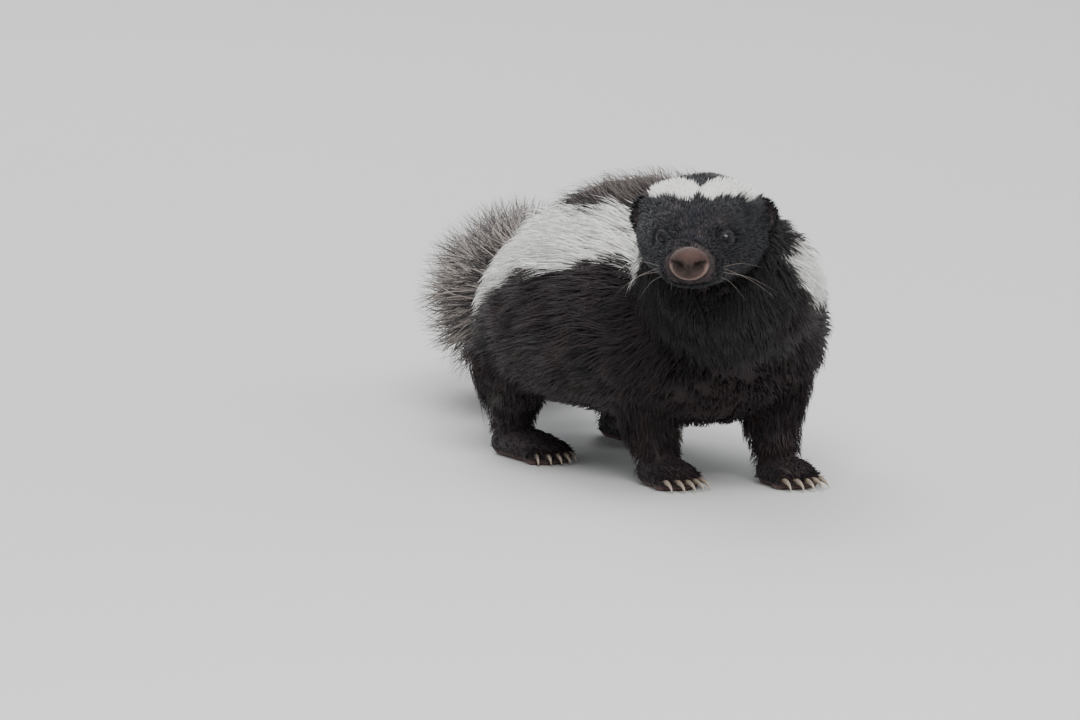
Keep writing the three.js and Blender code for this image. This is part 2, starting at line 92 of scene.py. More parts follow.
HEAD_ROWS = [
    (0, -50, -9, 11, 9, 9.5),
    (0, -40, -9.5, 15, 12, 12),
    (0, -28, -8, 19, 16.5, 15),
    (0, -14, -5, 24.5, 22, 19),
    (0, 2, -1, 29, 25, 25),
    (0, 18, 1.5, 30.5, 26, 28.5),
    (0, 34, 2.5, 28, 24, 27.5),
    (0, 45, 3, 24.5, 21, 25),
]
# Rows of a leg: share of the way from its top to its ankle, shift along the body, height, then three sizes.
FORE_ROWS = [
    (0, 0, 78, 25, 24, 26),
    (0.25, 3, 54, 21, 21, 22),
    (0.7, 3, 30, 14.5, 14.5, 15),
    (1, 0, 15, 11, 11.5, 11),
    (1, -2, 4, 10, 11.5, 10.5),
]
HIND_ROWS = [
    (0, 0, 74, 27, 34, 33),
    (0.3, -3, 52, 25, 30, 31),
    (0.8, 4, 31, 16, 18, 18),
    (1, 6, 17, 11, 12, 12),
    (1, 4, 5, 10, 12, 11),
]
FORE_PAW = {"long": 34, "wide": 11.5, "high": 8, "heel_back": 9, "claw": 11}
HIND_PAW = {"long": 54, "wide": 11.5, "high": 8, "heel_back": 17, "claw": 6}
LEGS = [
    {"name": "foreleg_right", "rows": FORE_ROWS, "paw": FORE_PAW, "top": (-34, -60), "ankle": (-29, -58)},
    {"name": "foreleg_left", "rows": FORE_ROWS, "paw": FORE_PAW, "top": (36, -66), "ankle": (25, -84)},
    {"name": "hindleg_right", "rows": HIND_ROWS, "paw": HIND_PAW, "top": (-46, 60), "ankle": (-41, 62)},
    {"name": "hindleg_left", "rows": HIND_ROWS, "paw": HIND_PAW, "top": (45, 70), "ankle": (38, 88)},
]
SHOULDER_CAP = 26
FOOT_DROP = 9
TOE_COUNT = 5
TOE_RADII = (2.9, 5.6, 4.2)
CLAW_ROOT = 1.35
CLAW_TIP = 0.18
CLAW_TALL = 1.15

# The head is drawn facing -Y round its own centre, then placed and turned.
HEAD_PLACE = np.array((-53.0, -140.0, 138.0))
HEAD_TURN = math.radians(-37)
HEAD_AXIS_Z = -2
# Soft pushes of the head's surface, away from its axis: x, y, z, reach and push, made on both sides.
HEAD_BUMPS = [
    (15, -19, 9, 8, 1.8),
    (11, -35, -2, 6, -1),
    (28, 2, -12, 14, 2.2),
    (11, -42, -14, 7, 1.4),
]
HEAD_SKIN = 1.2
HEAD_FUR = 3.0
LEG_SKIN = 1.5
LEG_FUR = 4.2

EYE = {"x": 15.0, "y": -24.0, "z": 0.8, "radius": 4.3, "out": 38, "up": 6}
LID = {"wide": 3.3, "high": 2.75, "sunk": 1.4, "rim": 0.5, "rim_ends": 1.4, "ends": 2.8}
NOSE = {"y": -49.5, "z": -8.6, "wide": 9.8, "high": 8.2, "deep": 6.2}
EAR = {"x": 29.5, "y": 15, "z": 7, "wide": 8.5, "high": 9, "deep": 7, "wall": 1.6, "out": 42, "rise": 0.08,
       "cut": 0.8}
MOUTH = [(0, -50.5, -19.4), (5, -48, -19.2), (10, -42, -18.6), (14.5, -33, -17), (18.5, -22, -14.5)]


def unit(vectors):
    return vectors / np.maximum(np.linalg.norm(vectors, axis=-1, keepdims=True), 1e-12)


def smooth(value, low, high):
    """0 below low, 1 above high, and an even ease between them. High may be below low."""
    t = np.clip((value - low) / (high - low), 0, 1)
    return t * t * (3 - 2 * t)


def mix(low, high, share):
    return low + (high - low) * share


def bell(value, reach):
    """1 at zero, falling to almost nothing two reaches away."""
    return np.exp(-((value / reach) ** 2))


def head_out(points):
    """Points from the head's own frame to the design frame."""
    c, s = math.cos(HEAD_TURN), math.sin(HEAD_TURN)
    return np.asarray(points, float) @ np.array([(c, s, 0), (-s, c, 0), (0, 0, 1)]) + HEAD_PLACE


def head_in(points):
    """Points from the design frame to the head's own frame."""
    c, s = math.cos(HEAD_TURN), math.sin(HEAD_TURN)
    return (np.asarray(points, float) - HEAD_PLACE) @ np.array([(c, -s, 0), (s, c, 0), (0, 0, 1)])


def eye_place(side):
    return np.array((side * EYE["x"], EYE["y"], EYE["z"]))


def cad_shift():
    """How far the frame's origin lies from the design frame's, in metres, read from the right eye's place."""
    low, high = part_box("eye_right")
    return np.array((low + high) / 2) - head_out(eye_place(-1)) * MM


SHIFT = cad_shift() * (1, 1, 0)


def place(points):
    """Points of the design frame, in millimetres, as points of the model's frame, in metres."""
    return np.asarray(points, float) * MM + SHIFT


def curve(rows, steps):
    """A smooth curve through rows of numbers, read at even steps."""
    rows = np.asarray(rows, float)
    ghosts = np.concatenate([[2 * rows[0] - rows[1]], rows, [2 * rows[-1] - rows[-2]]])
    t = np.linspace(0, len(rows) - 1, steps + 1)
    i = np.minimum(t.astype(int), len(rows) - 2)
    w = (t - i)[:, None]
    before, here, after, beyond = (ghosts[i + k] for k in range(4))
    leave, arrive = (after - before) / 2, (beyond - here) / 2
    bend = 3 * (after - here) - 2 * leave - arrive
    return here + leave * w + bend * w**2 + (2 * (here - after) + leave + arrive) * w**3


def round_end(distance, cap):
    inside = np.clip(distance / np.maximum(cap, 1e-6), 0, 1)
    return np.sqrt(1 - (1 - inside) ** 2)


class Form:
    """A rowed body form. Level 1 of its surface is out at the tips of the coat and level 0 is the skin."""

    STEPS = 600
    BELLY = (0.5, 0.95)
    LINE_SKIP = 12
    END_SLACK = 1 / 40

    def __init__(self, rows, *, up=(0, 0, 1), start_cap=0, end_cap=0, power=2.05, under_coat=1, shape=None):
        self.table = curve(rows, self.STEPS)
        gaps = np.linalg.norm(np.diff(self.table[:, :3], axis=0), axis=1)
        self.distance = np.concatenate([[0], np.cumsum(gaps)])
        self.length = self.distance[-1]
        self.tangent = np.gradient(self.table[:, :3], axis=0)
        self.up = np.array(up, float)
        self.start_cap = start_cap
        self.end_cap = end_cap
        self.power = power
        self.under_coat = under_coat
        self.shape = shape

    def read(self, values, distance):
        return np.stack([np.interp(distance, self.distance, column) for column in values.T], -1)

    def axes(self, distance):
        row = self.read(self.table, distance)
        along = unit(self.read(self.tangent, distance))
        side = unit(np.cross(self.up, along))
        return row, along, side, np.cross(along, side)

    def point(self, share, angle, level=0.0):
        """Points at a share of the length and an angle round the section, a quarter turn at the top."""
        share, angle, level = np.broadcast_arrays(*(np.asarray(v, float) for v in (share, angle, level)))
        inset = 1 - level
        start = self.table[0, 6] * inset if self.start_cap else np.zeros_like(inset)
        finish = self.length - (self.table[-1, 6] * inset if self.end_cap else 0)
        distance = mix(start, finish, share)
        on_line = np.clip(distance, 0, self.length)
        row, along, side, up = self.axes(on_line)
        centre = row[..., :3] + along * (distance - on_line)[..., None]
        size = np.ones_like(distance)
        if self.start_cap:
            size = size * round_end(distance - start, self.start_cap - start)
        if self.end_cap:
            size = size * round_end(finish - distance, self.end_cap - (self.length - finish))
        c, s = np.cos(angle), np.sin(angle)
        under = mix(1, self.under_coat, smooth(-s, *self.BELLY))
        shift = -row[..., 6] * inset * under
        across = np.sign(c) * np.abs(c) ** (2 / self.power) * (row[..., 3] + shift) * size
        tall = np.where(s > 0, row[..., 4], row[..., 5]) + shift
        height = np.sign(s) * np.abs(s) ** (2 / self.power) * tall * size
        made = centre + side * across[..., None] + up * height[..., None]
        return self.shape(made) if self.shape else made

    def nearest(self, points, level):
        """Where points lie: shares of the sizes across and up, the share along and the way past it."""
        distance = self.distance[::self.LINE_SKIP]
        line = self.table[::self.LINE_SKIP]
        index = np.argmin(((points[:, None, :] - line[None, :, :3]) ** 2).sum(-1), 1)
        row, along, side, up = self.axes(distance[index])
        away = points - row[:, :3]
        shift = -row[:, 6] * (1 - level)
        across = (away * side).sum(-1) / (row[:, 3] + shift)
        height = (away * up).sum(-1)
        tall = height / (np.where(height > 0, row[:, 4], row[:, 5]) + shift)
        past = (away * along).sum(-1)
        return across, tall, (distance[index] + past) / self.length, past

    def holds(self, points, level=0.0):
        """Which points lie inside the form at a level."""
        across, tall, _, past = self.nearest(points, level)
        inside = np.abs(across) ** self.power + np.abs(tall) ** self.power < 1
        return inside & (np.abs(past) < self.length * self.END_SLACK)


def furred(rows, skin, fur):
    """Rows without a coat get one: the skin lies inside the drawn sizes and the fur stands out of them."""
    proud = fur - skin
    return [(*row[:3], *(size + proud for size in row[3:6]), fur) for row in rows]


def head_shape(points):
    """Brow, cheek and hollow shapes, then the head's own turn and place."""
    made = np.array(points, float)
    axis = made * (0, 1, 0) + (0, 0, HEAD_AXIS_Z)
    outward = unit(made - axis)
    for x, y, z, reach, push in HEAD_BUMPS:
        for side in (-1, 1):
            distance = np.linalg.norm(made - (side * x, y, z), axis=-1)
            made += outward * (push * bell(distance, reach))[..., None]
    return head_out(made)


def leg_form(leg):
    top, ankle = np.array(leg["top"], float), np.array(leg["ankle"], float)
    rows = []
    for share, shift, z, *sizes in leg["rows"]:
        x, y = mix(top, ankle, share)
        rows.append((x, y + shift, z, *sizes))
    return Form(furred(rows, LEG_SKIN, LEG_FUR), up=(0, -1, 0), start_cap=SHOULDER_CAP, power=2)


TORSO = Form(TORSO_ROWS, start_cap=52, end_cap=60, under_coat=0.3)
NECK = Form(NECK_ROWS, end_cap=14, power=2)
TAIL = Form(TAIL_ROWS, start_cap=6, end_cap=44, power=2)
HEAD = Form(furred(HEAD_ROWS, HEAD_SKIN, HEAD_FUR), start_cap=4, end_cap=24, power=2.1, shape=head_shape)
LEG_FORMS = [leg_form(leg) for leg in LEGS]


def ripple(points, size, seed):
    """A smooth made-up value from about -1 to 1 that varies over points in waves of a size in millimetres."""
    rng = np.random.default_rng(seed)
    total = np.zeros(points.shape[:-1])
    waves = 5
    for _ in range(waves):
        direction = unit(rng.normal(size=3))
        total += np.sin(points @ direction * (2 * math.pi / size) * rng.uniform(0.6, 1.5) + rng.uniform(0, 7))
    return total / math.sqrt(waves)


def wavering(value, points, ripples):
    """A value with ripples added to it, each with its height, size and seed."""
    for height, size, seed in ripples:
        value = value + height * ripple(points, size, seed)
    return value


def way_to(points, line):
    """How far points are from a line of points that has a width at each, counted in those widths."""
    away = np.full(len(points), np.inf)
    for start, end in zip(line[:-1], line[1:]):
        span = end[:3] - start[:3]
        share = np.clip(((points - start[:3]) @ span) / max(span @ span, 1e-9), 0, 1)
        distance = np.linalg.norm(points - start[:3] - share[:, None] * span, axis=1)
        away = np.minimum(away, distance / mix(start[3], end[3], share))
    return away


def near_line(points, line, reach):
    """1 on a smooth line through points, falling off at a reach from it."""
    line = curve(line, 30)
    return bell(way_to(points, np.column_stack([line, np.ones(len(line))])), reach)


# Markings are read this far out in the coat.
MARK_LEVEL = 0.4
# The white stripe of each flank: share of the torso, then the angles above the side of its two edges.
FLANK_STRIPE = [
    (0.05, 45, 52),
    (0.13, 42, 53),
    (0.2, 38, 53),
    (0.3, 33, 55),
    (0.42, 32, 60),
    (0.53, 29, 67),
    (0.63, 25, 70),
    (0.73, 20, 63),
    (0.82, 15, 48),
    (0.9, 13, 32),
    (0.97, 13, 19),
]
FLANK_SOFT = 2.2
START_SOFT = 0.02
STRIPE_END = (0.985, 0.96)
FLANK_WAVER = [(2.0, 30, 5), (1.1, 7, 6)]
# From the crown to the torso it runs over the neck: share of the neck, angle above its side and half-width.
NAPE_STRIPES = {
    -1: [(0.95, 60, 7), (0.8, 56, 7), (0.6, 54, 7), (0.45, 54, 8), (0.3, 52, 9), (0.15, 50, 11)],
    1: [(1.0, 26, 11), (0.9, 24, 11), (0.8, 18, 12), (0.68, 10, 12), (0.54, 5, 11), (0.4, 8, 11),
        (0.26, 22, 12), (0.12, 38, 13)],
}
NAPE_SOFT = 0.14
NAPE_WAVER = (1.6, 20, 7)
NAPE_WAVER_AXES = (0.3, 0.3, 1)
# It starts on each side of the crown: x, y, z on the head and half-width.
CROWN_SIDE = [(17, 22, 21, 8), (19, 34, 18, 9)]
# The crown's white begins at a height, dips in the middle round a dark tick, and hangs lower by the ears.
CROWN = {"low": 18.2, "soft": 0.9, "slope": 0.1, "back": 36, "back_soft": 6}
CROWN_DIP = (2.0, 9)
CROWN_TICK = (3.2, 1.6)
CROWN_EARWARD = (3.0, 17, 27)
CROWN_WAVER = [(0.5, 8, 8), (0.25, 3, 9)]
# A dark wedge opens in it towards the nape.
NOTCH = {"y": -3.0, "slope": 0.66, "soft": 0.8, "tip": 0.5}
NOTCH_WAVER = [(0.5, 4, 10)]
# The ears stay dark: their middle and how far that reaches.
EAR_MIDDLE = np.array((EAR["x"], EAR["y"], EAR["z"]))
EAR_REACH = np.array((9.5, 11.0, 10.5))
EAR_EDGE = (0.96, 1.08)
# The head's own markings end at this outline round it and at its back, the body's begin behind the jaw.
HEAD_OUTLINE = {"x": 32, "z": 27, "middle": -1, "edge": (1.24, 1.1), "back": (46, 34)}
BY_HEAD = (70, 60)
BEHIND_JAW = (12, 22)


def nape_strokes():
    """The two strokes over the neck, as points with their half-widths."""
    strokes = []
    for side, stops in NAPE_STRIPES.items():
        table = np.array(stops, float)
        angle = np.radians(table[:, 1] if side > 0 else 180 - table[:, 1])
        neck = np.column_stack([NECK.point(table[:, 0], angle, MARK_LEVEL), table[:, 2]])
        crown = np.array(CROWN_SIDE, float) * (side, 1, 1, 1)
        crown = np.column_stack([head_out(crown[:, :3]), crown[:, 3]])
        strokes.append(curve(np.concatenate([crown, neck]), 48))
    return strokes


STROKES = nape_strokes()


def flank_mask(points):
    """1 inside the flank stripes and 0 outside them."""
    across, tall, share, _ = TORSO.nearest(points, MARK_LEVEL)
    angle = wavering(np.degrees(np.arctan2(tall, np.abs(across))), points, FLANK_WAVER)
    stops = np.array(FLANK_STRIPE)
    low, high = (np.interp(share, stops[:, 0], stops[:, k]) for k in (1, 2))
    above = smooth(angle, low - FLANK_SOFT, low + FLANK_SOFT)
    inside = above * smooth(angle, high + FLANK_SOFT, high - FLANK_SOFT)
    start = stops[0, 0]
    return inside * smooth(share, start - START_SOFT, start + START_SOFT) * smooth(share, *STRIPE_END)


def crown_mask(local):
    """The white cap of the head, and the dark wedge behind it."""
    x, y, z = local.T
    dip, tick = (height * bell(x, reach) for height, reach in (CROWN_DIP, CROWN_TICK))
    earward, *over_ears = CROWN_EARWARD
    low = CROWN["low"] - dip + tick - earward * smooth(np.abs(x), *over_ears)
    low = wavering(low, local, CROWN_WAVER)
    crown = smooth(z + CROWN["slope"] * y, low - CROWN["soft"], low + CROWN["soft"])
    notch = wavering(NOTCH["slope"] * (y - NOTCH["y"]), local, NOTCH_WAVER)
    dark = smooth(np.abs(x), notch + NOTCH["soft"], notch - NOTCH["soft"])
    dark = dark * smooth(notch, -NOTCH["tip"], NOTCH["tip"])
    return crown * smooth(y, CROWN["back"] + CROWN["back_soft"], CROWN["back"] - CROWN["back_soft"]), dark


def white_of(points):
    """How white the coat is at points of the design frame."""
    points = np.asarray(points, float)
    local = head_in(points)
    x, y, z = local.T
    outline = np.hypot(x / HEAD_OUTLINE["x"], (z - HEAD_OUTLINE["middle"]) / HEAD_OUTLINE["z"])
    on_head = smooth(y, *HEAD_OUTLINE["back"]) * smooth(outline, *HEAD_OUTLINE["edge"])
    crown, dark = crown_mask(local)
    from_ear = (np.column_stack([np.abs(x), y, z]) - EAR_MIDDLE) / EAR_REACH
    crown = crown * smooth(np.linalg.norm(from_ear, axis=1), *EAR_EDGE)
    nape = np.zeros(len(points))
    height, size, seed = NAPE_WAVER
    waver = height * ripple(points, size, seed)[:, None] * NAPE_WAVER_AXES
    for stroke in STROKES:
        nape = np.maximum(nape, smooth(way_to(points + waver, stroke), 1 + NAPE_SOFT, 1 - NAPE_SOFT))
    by_head = smooth(np.linalg.norm(local, axis=1), *BY_HEAD)
    body = np.maximum(nape, flank_mask(points)) * mix(1, smooth(y, *BEHIND_JAW), by_head)
    return mix(body, crown * (1 - dark), on_head)


# Meshes

def closed_grid(rings):
    """A closed surface from an array of rings of points, its two ends brought to their middles."""
    count, sides = rings.shape[:2]
    vertices = np.concatenate([rings.reshape(-1, 3), [rings[0].mean(0)], [rings[-1].mean(0)]])
    start, end = count * sides, count * sides + 1
    here = np.arange(sides)
    after = (here + 1) % sides
    faces = []
    for ring in range(count - 1):
        a, b = ring * sides, (ring + 1) * sides
        faces.append(np.stack([a + here, b + after, b + here], 1))
        faces.append(np.stack([a + here, a + after, b + after], 1))
    faces.append(np.stack([np.full(sides, start), after, here], 1))
    last = (count - 1) * sides
    faces.append(np.stack([np.full(sides, end), last + here, last + after], 1))
    return vertices, np.concatenate(faces)


def facing_out(vertices, faces):
    """The faces, turned round if the closed surface is inside out."""
    a, b, c = (vertices[faces[:, k]] for k in range(3))
    return faces if np.einsum("ij,ij->i", a, np.cross(b, c)).sum() > 0 else faces[:, ::-1]


def joined(shells):
    """One pair of vertices and faces from several."""
    vertices, faces, start = [], [], 0
    for v, f in shells:
        vertices.append(v)
        faces.append(facing_out(v - v.mean(0), f) + start)
        start += len(v)
    return np.concatenate(vertices), np.concatenate(faces)


def shell(form, rings, sides, level=0.0):
    shares = (1 - np.cos(np.linspace(0, math.pi, rings))) / 2
    angles = np.arange(sides) * 2 * math.pi / sides
    return closed_grid(form.point(shares[:, None], angles[None, :], level))


def egg(centre, radii, axes=np.eye(3), wide=32, high=20):
    """An ellipsoid; axes' rows are the directions of its three radii."""
    lat = np.linspace(-math.pi / 2, math.pi / 2, high + 2)[1:-1, None]
    lon = np.arange(wide)[None, :] * 2 * math.pi / wide
    shape = np.broadcast_arrays(np.cos(lat) * np.cos(lon), np.cos(lat) * np.sin(lon), np.sin(lat) + 0 * lon)
    return closed_grid(np.stack(shape, -1) * radii @ axes + centre)


def tube(points, radii, sides=8, steps=24, flat=1.0):
    """A closed tube through points with its radius at each, flattened upright by a share."""
    table = curve(np.column_stack([points, radii]), steps)
    along = unit(np.gradient(table[:, :3], axis=0))
    side = unit(np.cross((0, 0, 1), along))
    up = np.cross(along, side)
    angle = (np.arange(sides) * 2 * math.pi / sides)[None, :, None]
    ring = np.cos(angle) * side[:, None] + np.sin(angle) * up[:, None] * flat
    return closed_grid(table[:, None, :3] + ring * table[:, None, 3:4])


def linked(name, mesh, values):
    """A mesh object in the scene, with point attributes."""
    for key, value in values.items():
        mesh.attributes.new(key, "FLOAT", "POINT").data.foreach_set("value", value.astype(np.float32))
    made = bpy.data.objects.new(name, mesh)
    bpy.context.scene.collection.objects.link(made)
    return made


def new_mesh(name, vertices, faces, values=None, patches=None):
    """A smooth mesh object from design-frame points, with point attributes and a map of patches."""
    mesh = bpy.data.meshes.new(name)
    mesh.vertices.add(len(vertices))
    mesh.vertices.foreach_set("co", place(vertices).astype(np.float32).ravel())
    mesh.loops.add(faces.size)
    mesh.loops.foreach_set("vertex_index", faces.astype(np.int32).ravel())
    mesh.polygons.add(len(faces))
    mesh.polygons.foreach_set("loop_start", np.arange(0, faces.size, faces.shape[1], dtype=np.int32))
    mesh.polygons.foreach_set("use_smooth", np.ones(len(faces), bool))
    mesh.update()
    mesh.validate()
    made = linked(name, mesh, values or {})
    if patches is not None:
        layer = mesh.uv_layers.new(name="OFBake")
        layer.uv.foreach_set("vector", patches[faces.ravel()].astype(np.float32).ravel())
    return made


def finish_piece(made, material, slot, *nodes):
    """A piece gets its material and rides on the body; it stands for the nodes that it replaces."""
    made.data.materials.clear()
    made.data.materials.append(material)
    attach(made, "root")
    if nodes:
        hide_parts(*nodes)
    return made


# The coat

# Where along a strand its rings of three corners lie, and how wide each ring is.
LONG_STRAND = {"rings": (0.0, 0.3, 0.66), "widths": (0.7, 1.0, 0.62)}
SHORT_STRAND = {"rings": (0.0, 0.5), "widths": (0.85, 0.8)}
STRAND_FLAT = 0.5
CORNERS = np.radians((90, 210, 330))
# The size of a strand's patch on its piece's map.
PATCH = 0.003
# Half the step over which a form's pace along and round it is measured, and the least pace for each.
PROBE = 0.004
LEAST_PACE = 0.35
LEAST_PACE_ROUND = 4.0
# Where the dark coat shows less of its paler tone, or more: the places, the stretches over which that changes
# and by how much. Less on the throat and under the chin is painted shade, and more on the top of the muzzle
# is a painted highlight. All but the throat and nape are on the head.
CHEEK = {"y": (-12, 12), "z": (17, 9), "less": 0.75}
BROW = {"place": (15, 20, 8), "reach": 7, "less": 0.6}
# Painted shade under the chin and jaw.
UNDER_CHIN_SHADE = {"z": (-11, -18), "less": 0.7}
# A painted highlight along the top of the muzzle, between the eyes and the nose.
MUZZLE_SHEEN = {"x": 10, "y": 15, "middle": -30, "z": (-12, -4), "tones": (0.6, 1.5)}
# Painted shade: the throat below the head loses most of the dark coat's paler tone.
THROAT_SHADE = {"place": (-48.0, -128.0, 84.0), "reach": 48.0, "less": 0.9}
NAPE = {"z": (128, 142), "more": 0.8}
HEAD_TONE = (62, 54)
# How strands vary: by tuft and each on its own.
LENGTH_VARIES = (0.16, 0.1)
SWING_VARIES = (0.3, 0.22)
TIP_VARIES = (0.3, 0.22)
WIDTH_VARIES = 0.25


def strand_faces(count, rings):
    """The triangles of count closed three-sided strands, each with some rings and a tip."""
    k = np.arange(3)
    n = (k + 1) % 3
    faces = [np.array([(0, 2, 1)])]
    for ring in range(rings - 1):
        a, b = 3 * ring, 3 * ring + 3
        faces.append(np.stack([a + k, a + n, b + n], 1))
        faces.append(np.stack([a + k, b + n, b + k], 1))
    last = 3 * rings - 3
    faces.append(np.stack([last + k, last + n, np.full(3, 3 * rings)], 1))
    one = np.concatenate(faces)
    per = 3 * rings + 1
    return (one[None] + (np.arange(count) * per)[:, None, None]).reshape(-1, 3)


def strand_batch(kind, path, across, raised, width, spots, roots):
    """Closed strands along paths with their map patches, the way up each, and their roots."""
    steps = np.array(kind["rings"])
    rings = len(steps)
    half = (width[:, None] * np.array(kind["widths"]) / 2)[:, :, None, None]
    ring = np.cos(CORNERS)[:, None] * across[:, :rings, None, :]
    ring = ring + np.sin(CORNERS)[:, None] * raised[:, :rings, None, :]
    body = path[:, :rings, None, :] + half * ring
    vertices = np.concatenate([body.reshape(len(path), -1, 3), path[:, -1:, :]], 1)
    corners = np.stack([np.tile(np.cos(CORNERS), rings), np.repeat(2 * steps - 1, 3)], 1)
    patch = np.concatenate([corners, [(0.0, 1.0)]]) * (PATCH / 2)
    spot = np.clip(spots, 0, 1) * (1 - PATCH) + PATCH / 2
    return {
        "vertices": vertices.reshape(-1, 3),
        "faces": strand_faces(len(path), rings),
        "patches": (spot[:, None, :] + patch).reshape(-1, 2),
        "grow": np.tile(np.append(np.repeat(steps, 3), 1.0), len(path)),
        "per": vertices.shape[1],
        "roots": roots,
    }


def runs(form, share, angle, level, ends=(-np.inf, np.inf)):
    """The way that a form's surface runs along it and round it at places, over twice PROBE."""
    ahead, back = (form.point(np.clip(share + step, *ends), angle, level) for step in (PROBE, -PROBE))
    return ahead - back, form.point(share, angle + PROBE, level) - form.point(share, angle - PROBE, level)


def paces(form, along, turn):
    """Millimetres per unit of share and of angle, from such runs."""
    pace = np.maximum(np.linalg.norm(along, axis=1) / (2 * PROBE), form.length * LEAST_PACE)
    return pace, np.maximum(np.linalg.norm(turn, axis=1) / (2 * PROBE), LEAST_PACE_ROUND)


def coat_strands(form, share, angle, *, reach, round_reach, tuft, root, tip, width, sag, kind, rise):
    """Strands over a form.

    reach and round_reach are how far each lies along and round the form, in millimetres. tuft holds the share
    and angle of its tuft's middle and how far it closes in on it. root and tip are levels.
    """
    pace, pace_round = paces(form, *runs(form, share, angle, 0.5, (0, 1)))
    outward = unit(form.point(share, angle, 1.0) - form.point(share, angle, 0.0))
    tuft_share, tuft_angle, close = tuft
    s = np.array([*kind["rings"], 1.0])[None, :]
    shares = share[:, None] + s * (reach / pace)[:, None] + (tuft_share - share)[:, None] * s * close
    angles = angle[:, None] + s * (round_reach / pace_round)[:, None]
    angles = angles + (tuft_angle - angle)[:, None] * s * close
    levels = root + (tip - root)[:, None] * (1 - (1 - s) ** rise)
    path = form.point(np.clip(shares, 0.0, 0.999), angles, levels)
    path[..., 2] -= sag[:, None] * s**2
    along = unit(np.gradient(path, axis=1))
    across = unit(np.cross(outward[:, None, :], along))
    spots = np.stack([np.mod(angle / (2 * math.pi), 1), share], 1)
    raised = STRAND_FLAT * np.cross(along, across)
    return strand_batch(kind, path, across, raised, width, spots, form.point(share, angle, 0.3))


def tone_and_painted_light_of(points):
    """How much of the dark coat's paler tone shows: little on the throat, cheeks and brows.

    Less on the throat and under the chin is painted shade, more on the muzzle's top a painted highlight.
    """
    local = head_in(points)
    x, y, z = local.T
    cheek = smooth(y, *CHEEK["y"]) * smooth(z, *CHEEK["z"])
    brow = bell(np.linalg.norm(np.abs(local) - BROW["place"], axis=1), BROW["reach"])
    muzzle = np.exp(-((x / MUZZLE_SHEEN["x"]) ** 2) - ((y - MUZZLE_SHEEN["middle"]) / MUZZLE_SHEEN["y"]) ** 2)
    face = (1 - CHEEK["less"] * cheek) * (1 - BROW["less"] * brow)
    # Painted shade under the chin.
    face = face * (1 - UNDER_CHIN_SHADE["less"] * smooth(z, *UNDER_CHIN_SHADE["z"]))
    # The muzzle's painted highlight.
    face = face * mix(*MUZZLE_SHEEN["tones"], muzzle * smooth(z, *MUZZLE_SHEEN["z"]))
    # Painted shade on the throat.
    from_throat = np.linalg.norm(points - np.array(THROAT_SHADE["place"]), axis=1)
    body = 1 - THROAT_SHADE["less"] * bell(from_throat, THROAT_SHADE["reach"])
    body = body * (1 + NAPE["more"] * smooth(points[:, 2], *NAPE["z"]))
    return mix(body, face, smooth(np.linalg.norm(local, axis=1), *HEAD_TONE))


def coat_piece(name, batches, rng, extra=None):
    """One coat piece from batches of strands, with its markings read at the roots."""
    values = {"white": [], "tone_and_painted_light": [], "grow": [], "pale": []}
    faces, start = [], 0
    for batch in batches:
        roots = batch["roots"]
        marks = white_of(roots) * batch.get("marked", 1.0)
        marks = np.clip(marks + rng.normal(0, 0.07, len(marks)) * (marks > 0.02) * (marks < 0.98), 0, 1)
        tone = 0.5 + 0.26 * ripple(roots, 26, 3) + rng.normal(0, 0.2, len(roots))
        # The tone takes in painted shade on the throat and under the chin and a painted highlight on the
        # muzzle.
        tone = np.clip(tone * tone_and_painted_light_of(roots), 0, 1)
        pale = extra(roots, rng) if extra else np.full(len(roots), batch.get("pale", 0.0))
        for key, value in (("white", marks), ("tone_and_painted_light", tone), ("pale", pale)):
            values[key].append(np.repeat(value, batch["per"]))
        values["grow"].append(batch["grow"])
        faces.append(batch["faces"] + start)
        start += len(batch["vertices"])
    values = {key: np.concatenate(parts) for key, parts in values.items()}
    vertices, patches = (np.concatenate([batch[key] for batch in batches]) for key in ("vertices", "patches"))
    return new_mesh(name, vertices, np.concatenate(faces), values, patches)


def scatter(form, rng, count, shares, angles, per_tuft, spread):
    """Roots over part of a form, even by area: tuft middles first, then each strand round one of them."""
    tufts = max(1, count // per_tuft)
    tries = tufts * 6
    share = rng.uniform(*shares, tries)
    angle = rng.uniform(*angles, tries)
    along, turn = runs(form, share, angle, 0.0)
    area = np.linalg.norm(np.cross(along, turn), axis=1)
    keep = rng.uniform(0, np.quantile(area, 0.98), tries) < area
    share, angle, along, turn = (values[keep][:tufts] for values in (share, angle, along, turn))
    pace, pace_round = paces(form, along, turn)
    pick = np.repeat(np.arange(len(share)), per_tuft)
    offset = rng.normal(0, spread, (2, len(pick)))
    roots = share[pick] + offset[0] / pace[pick], angle[pick] + offset[1] / pace_round[pick]
    return np.clip(roots[0], 0.001, 0.995), roots[1], share[pick], angle[pick], pick


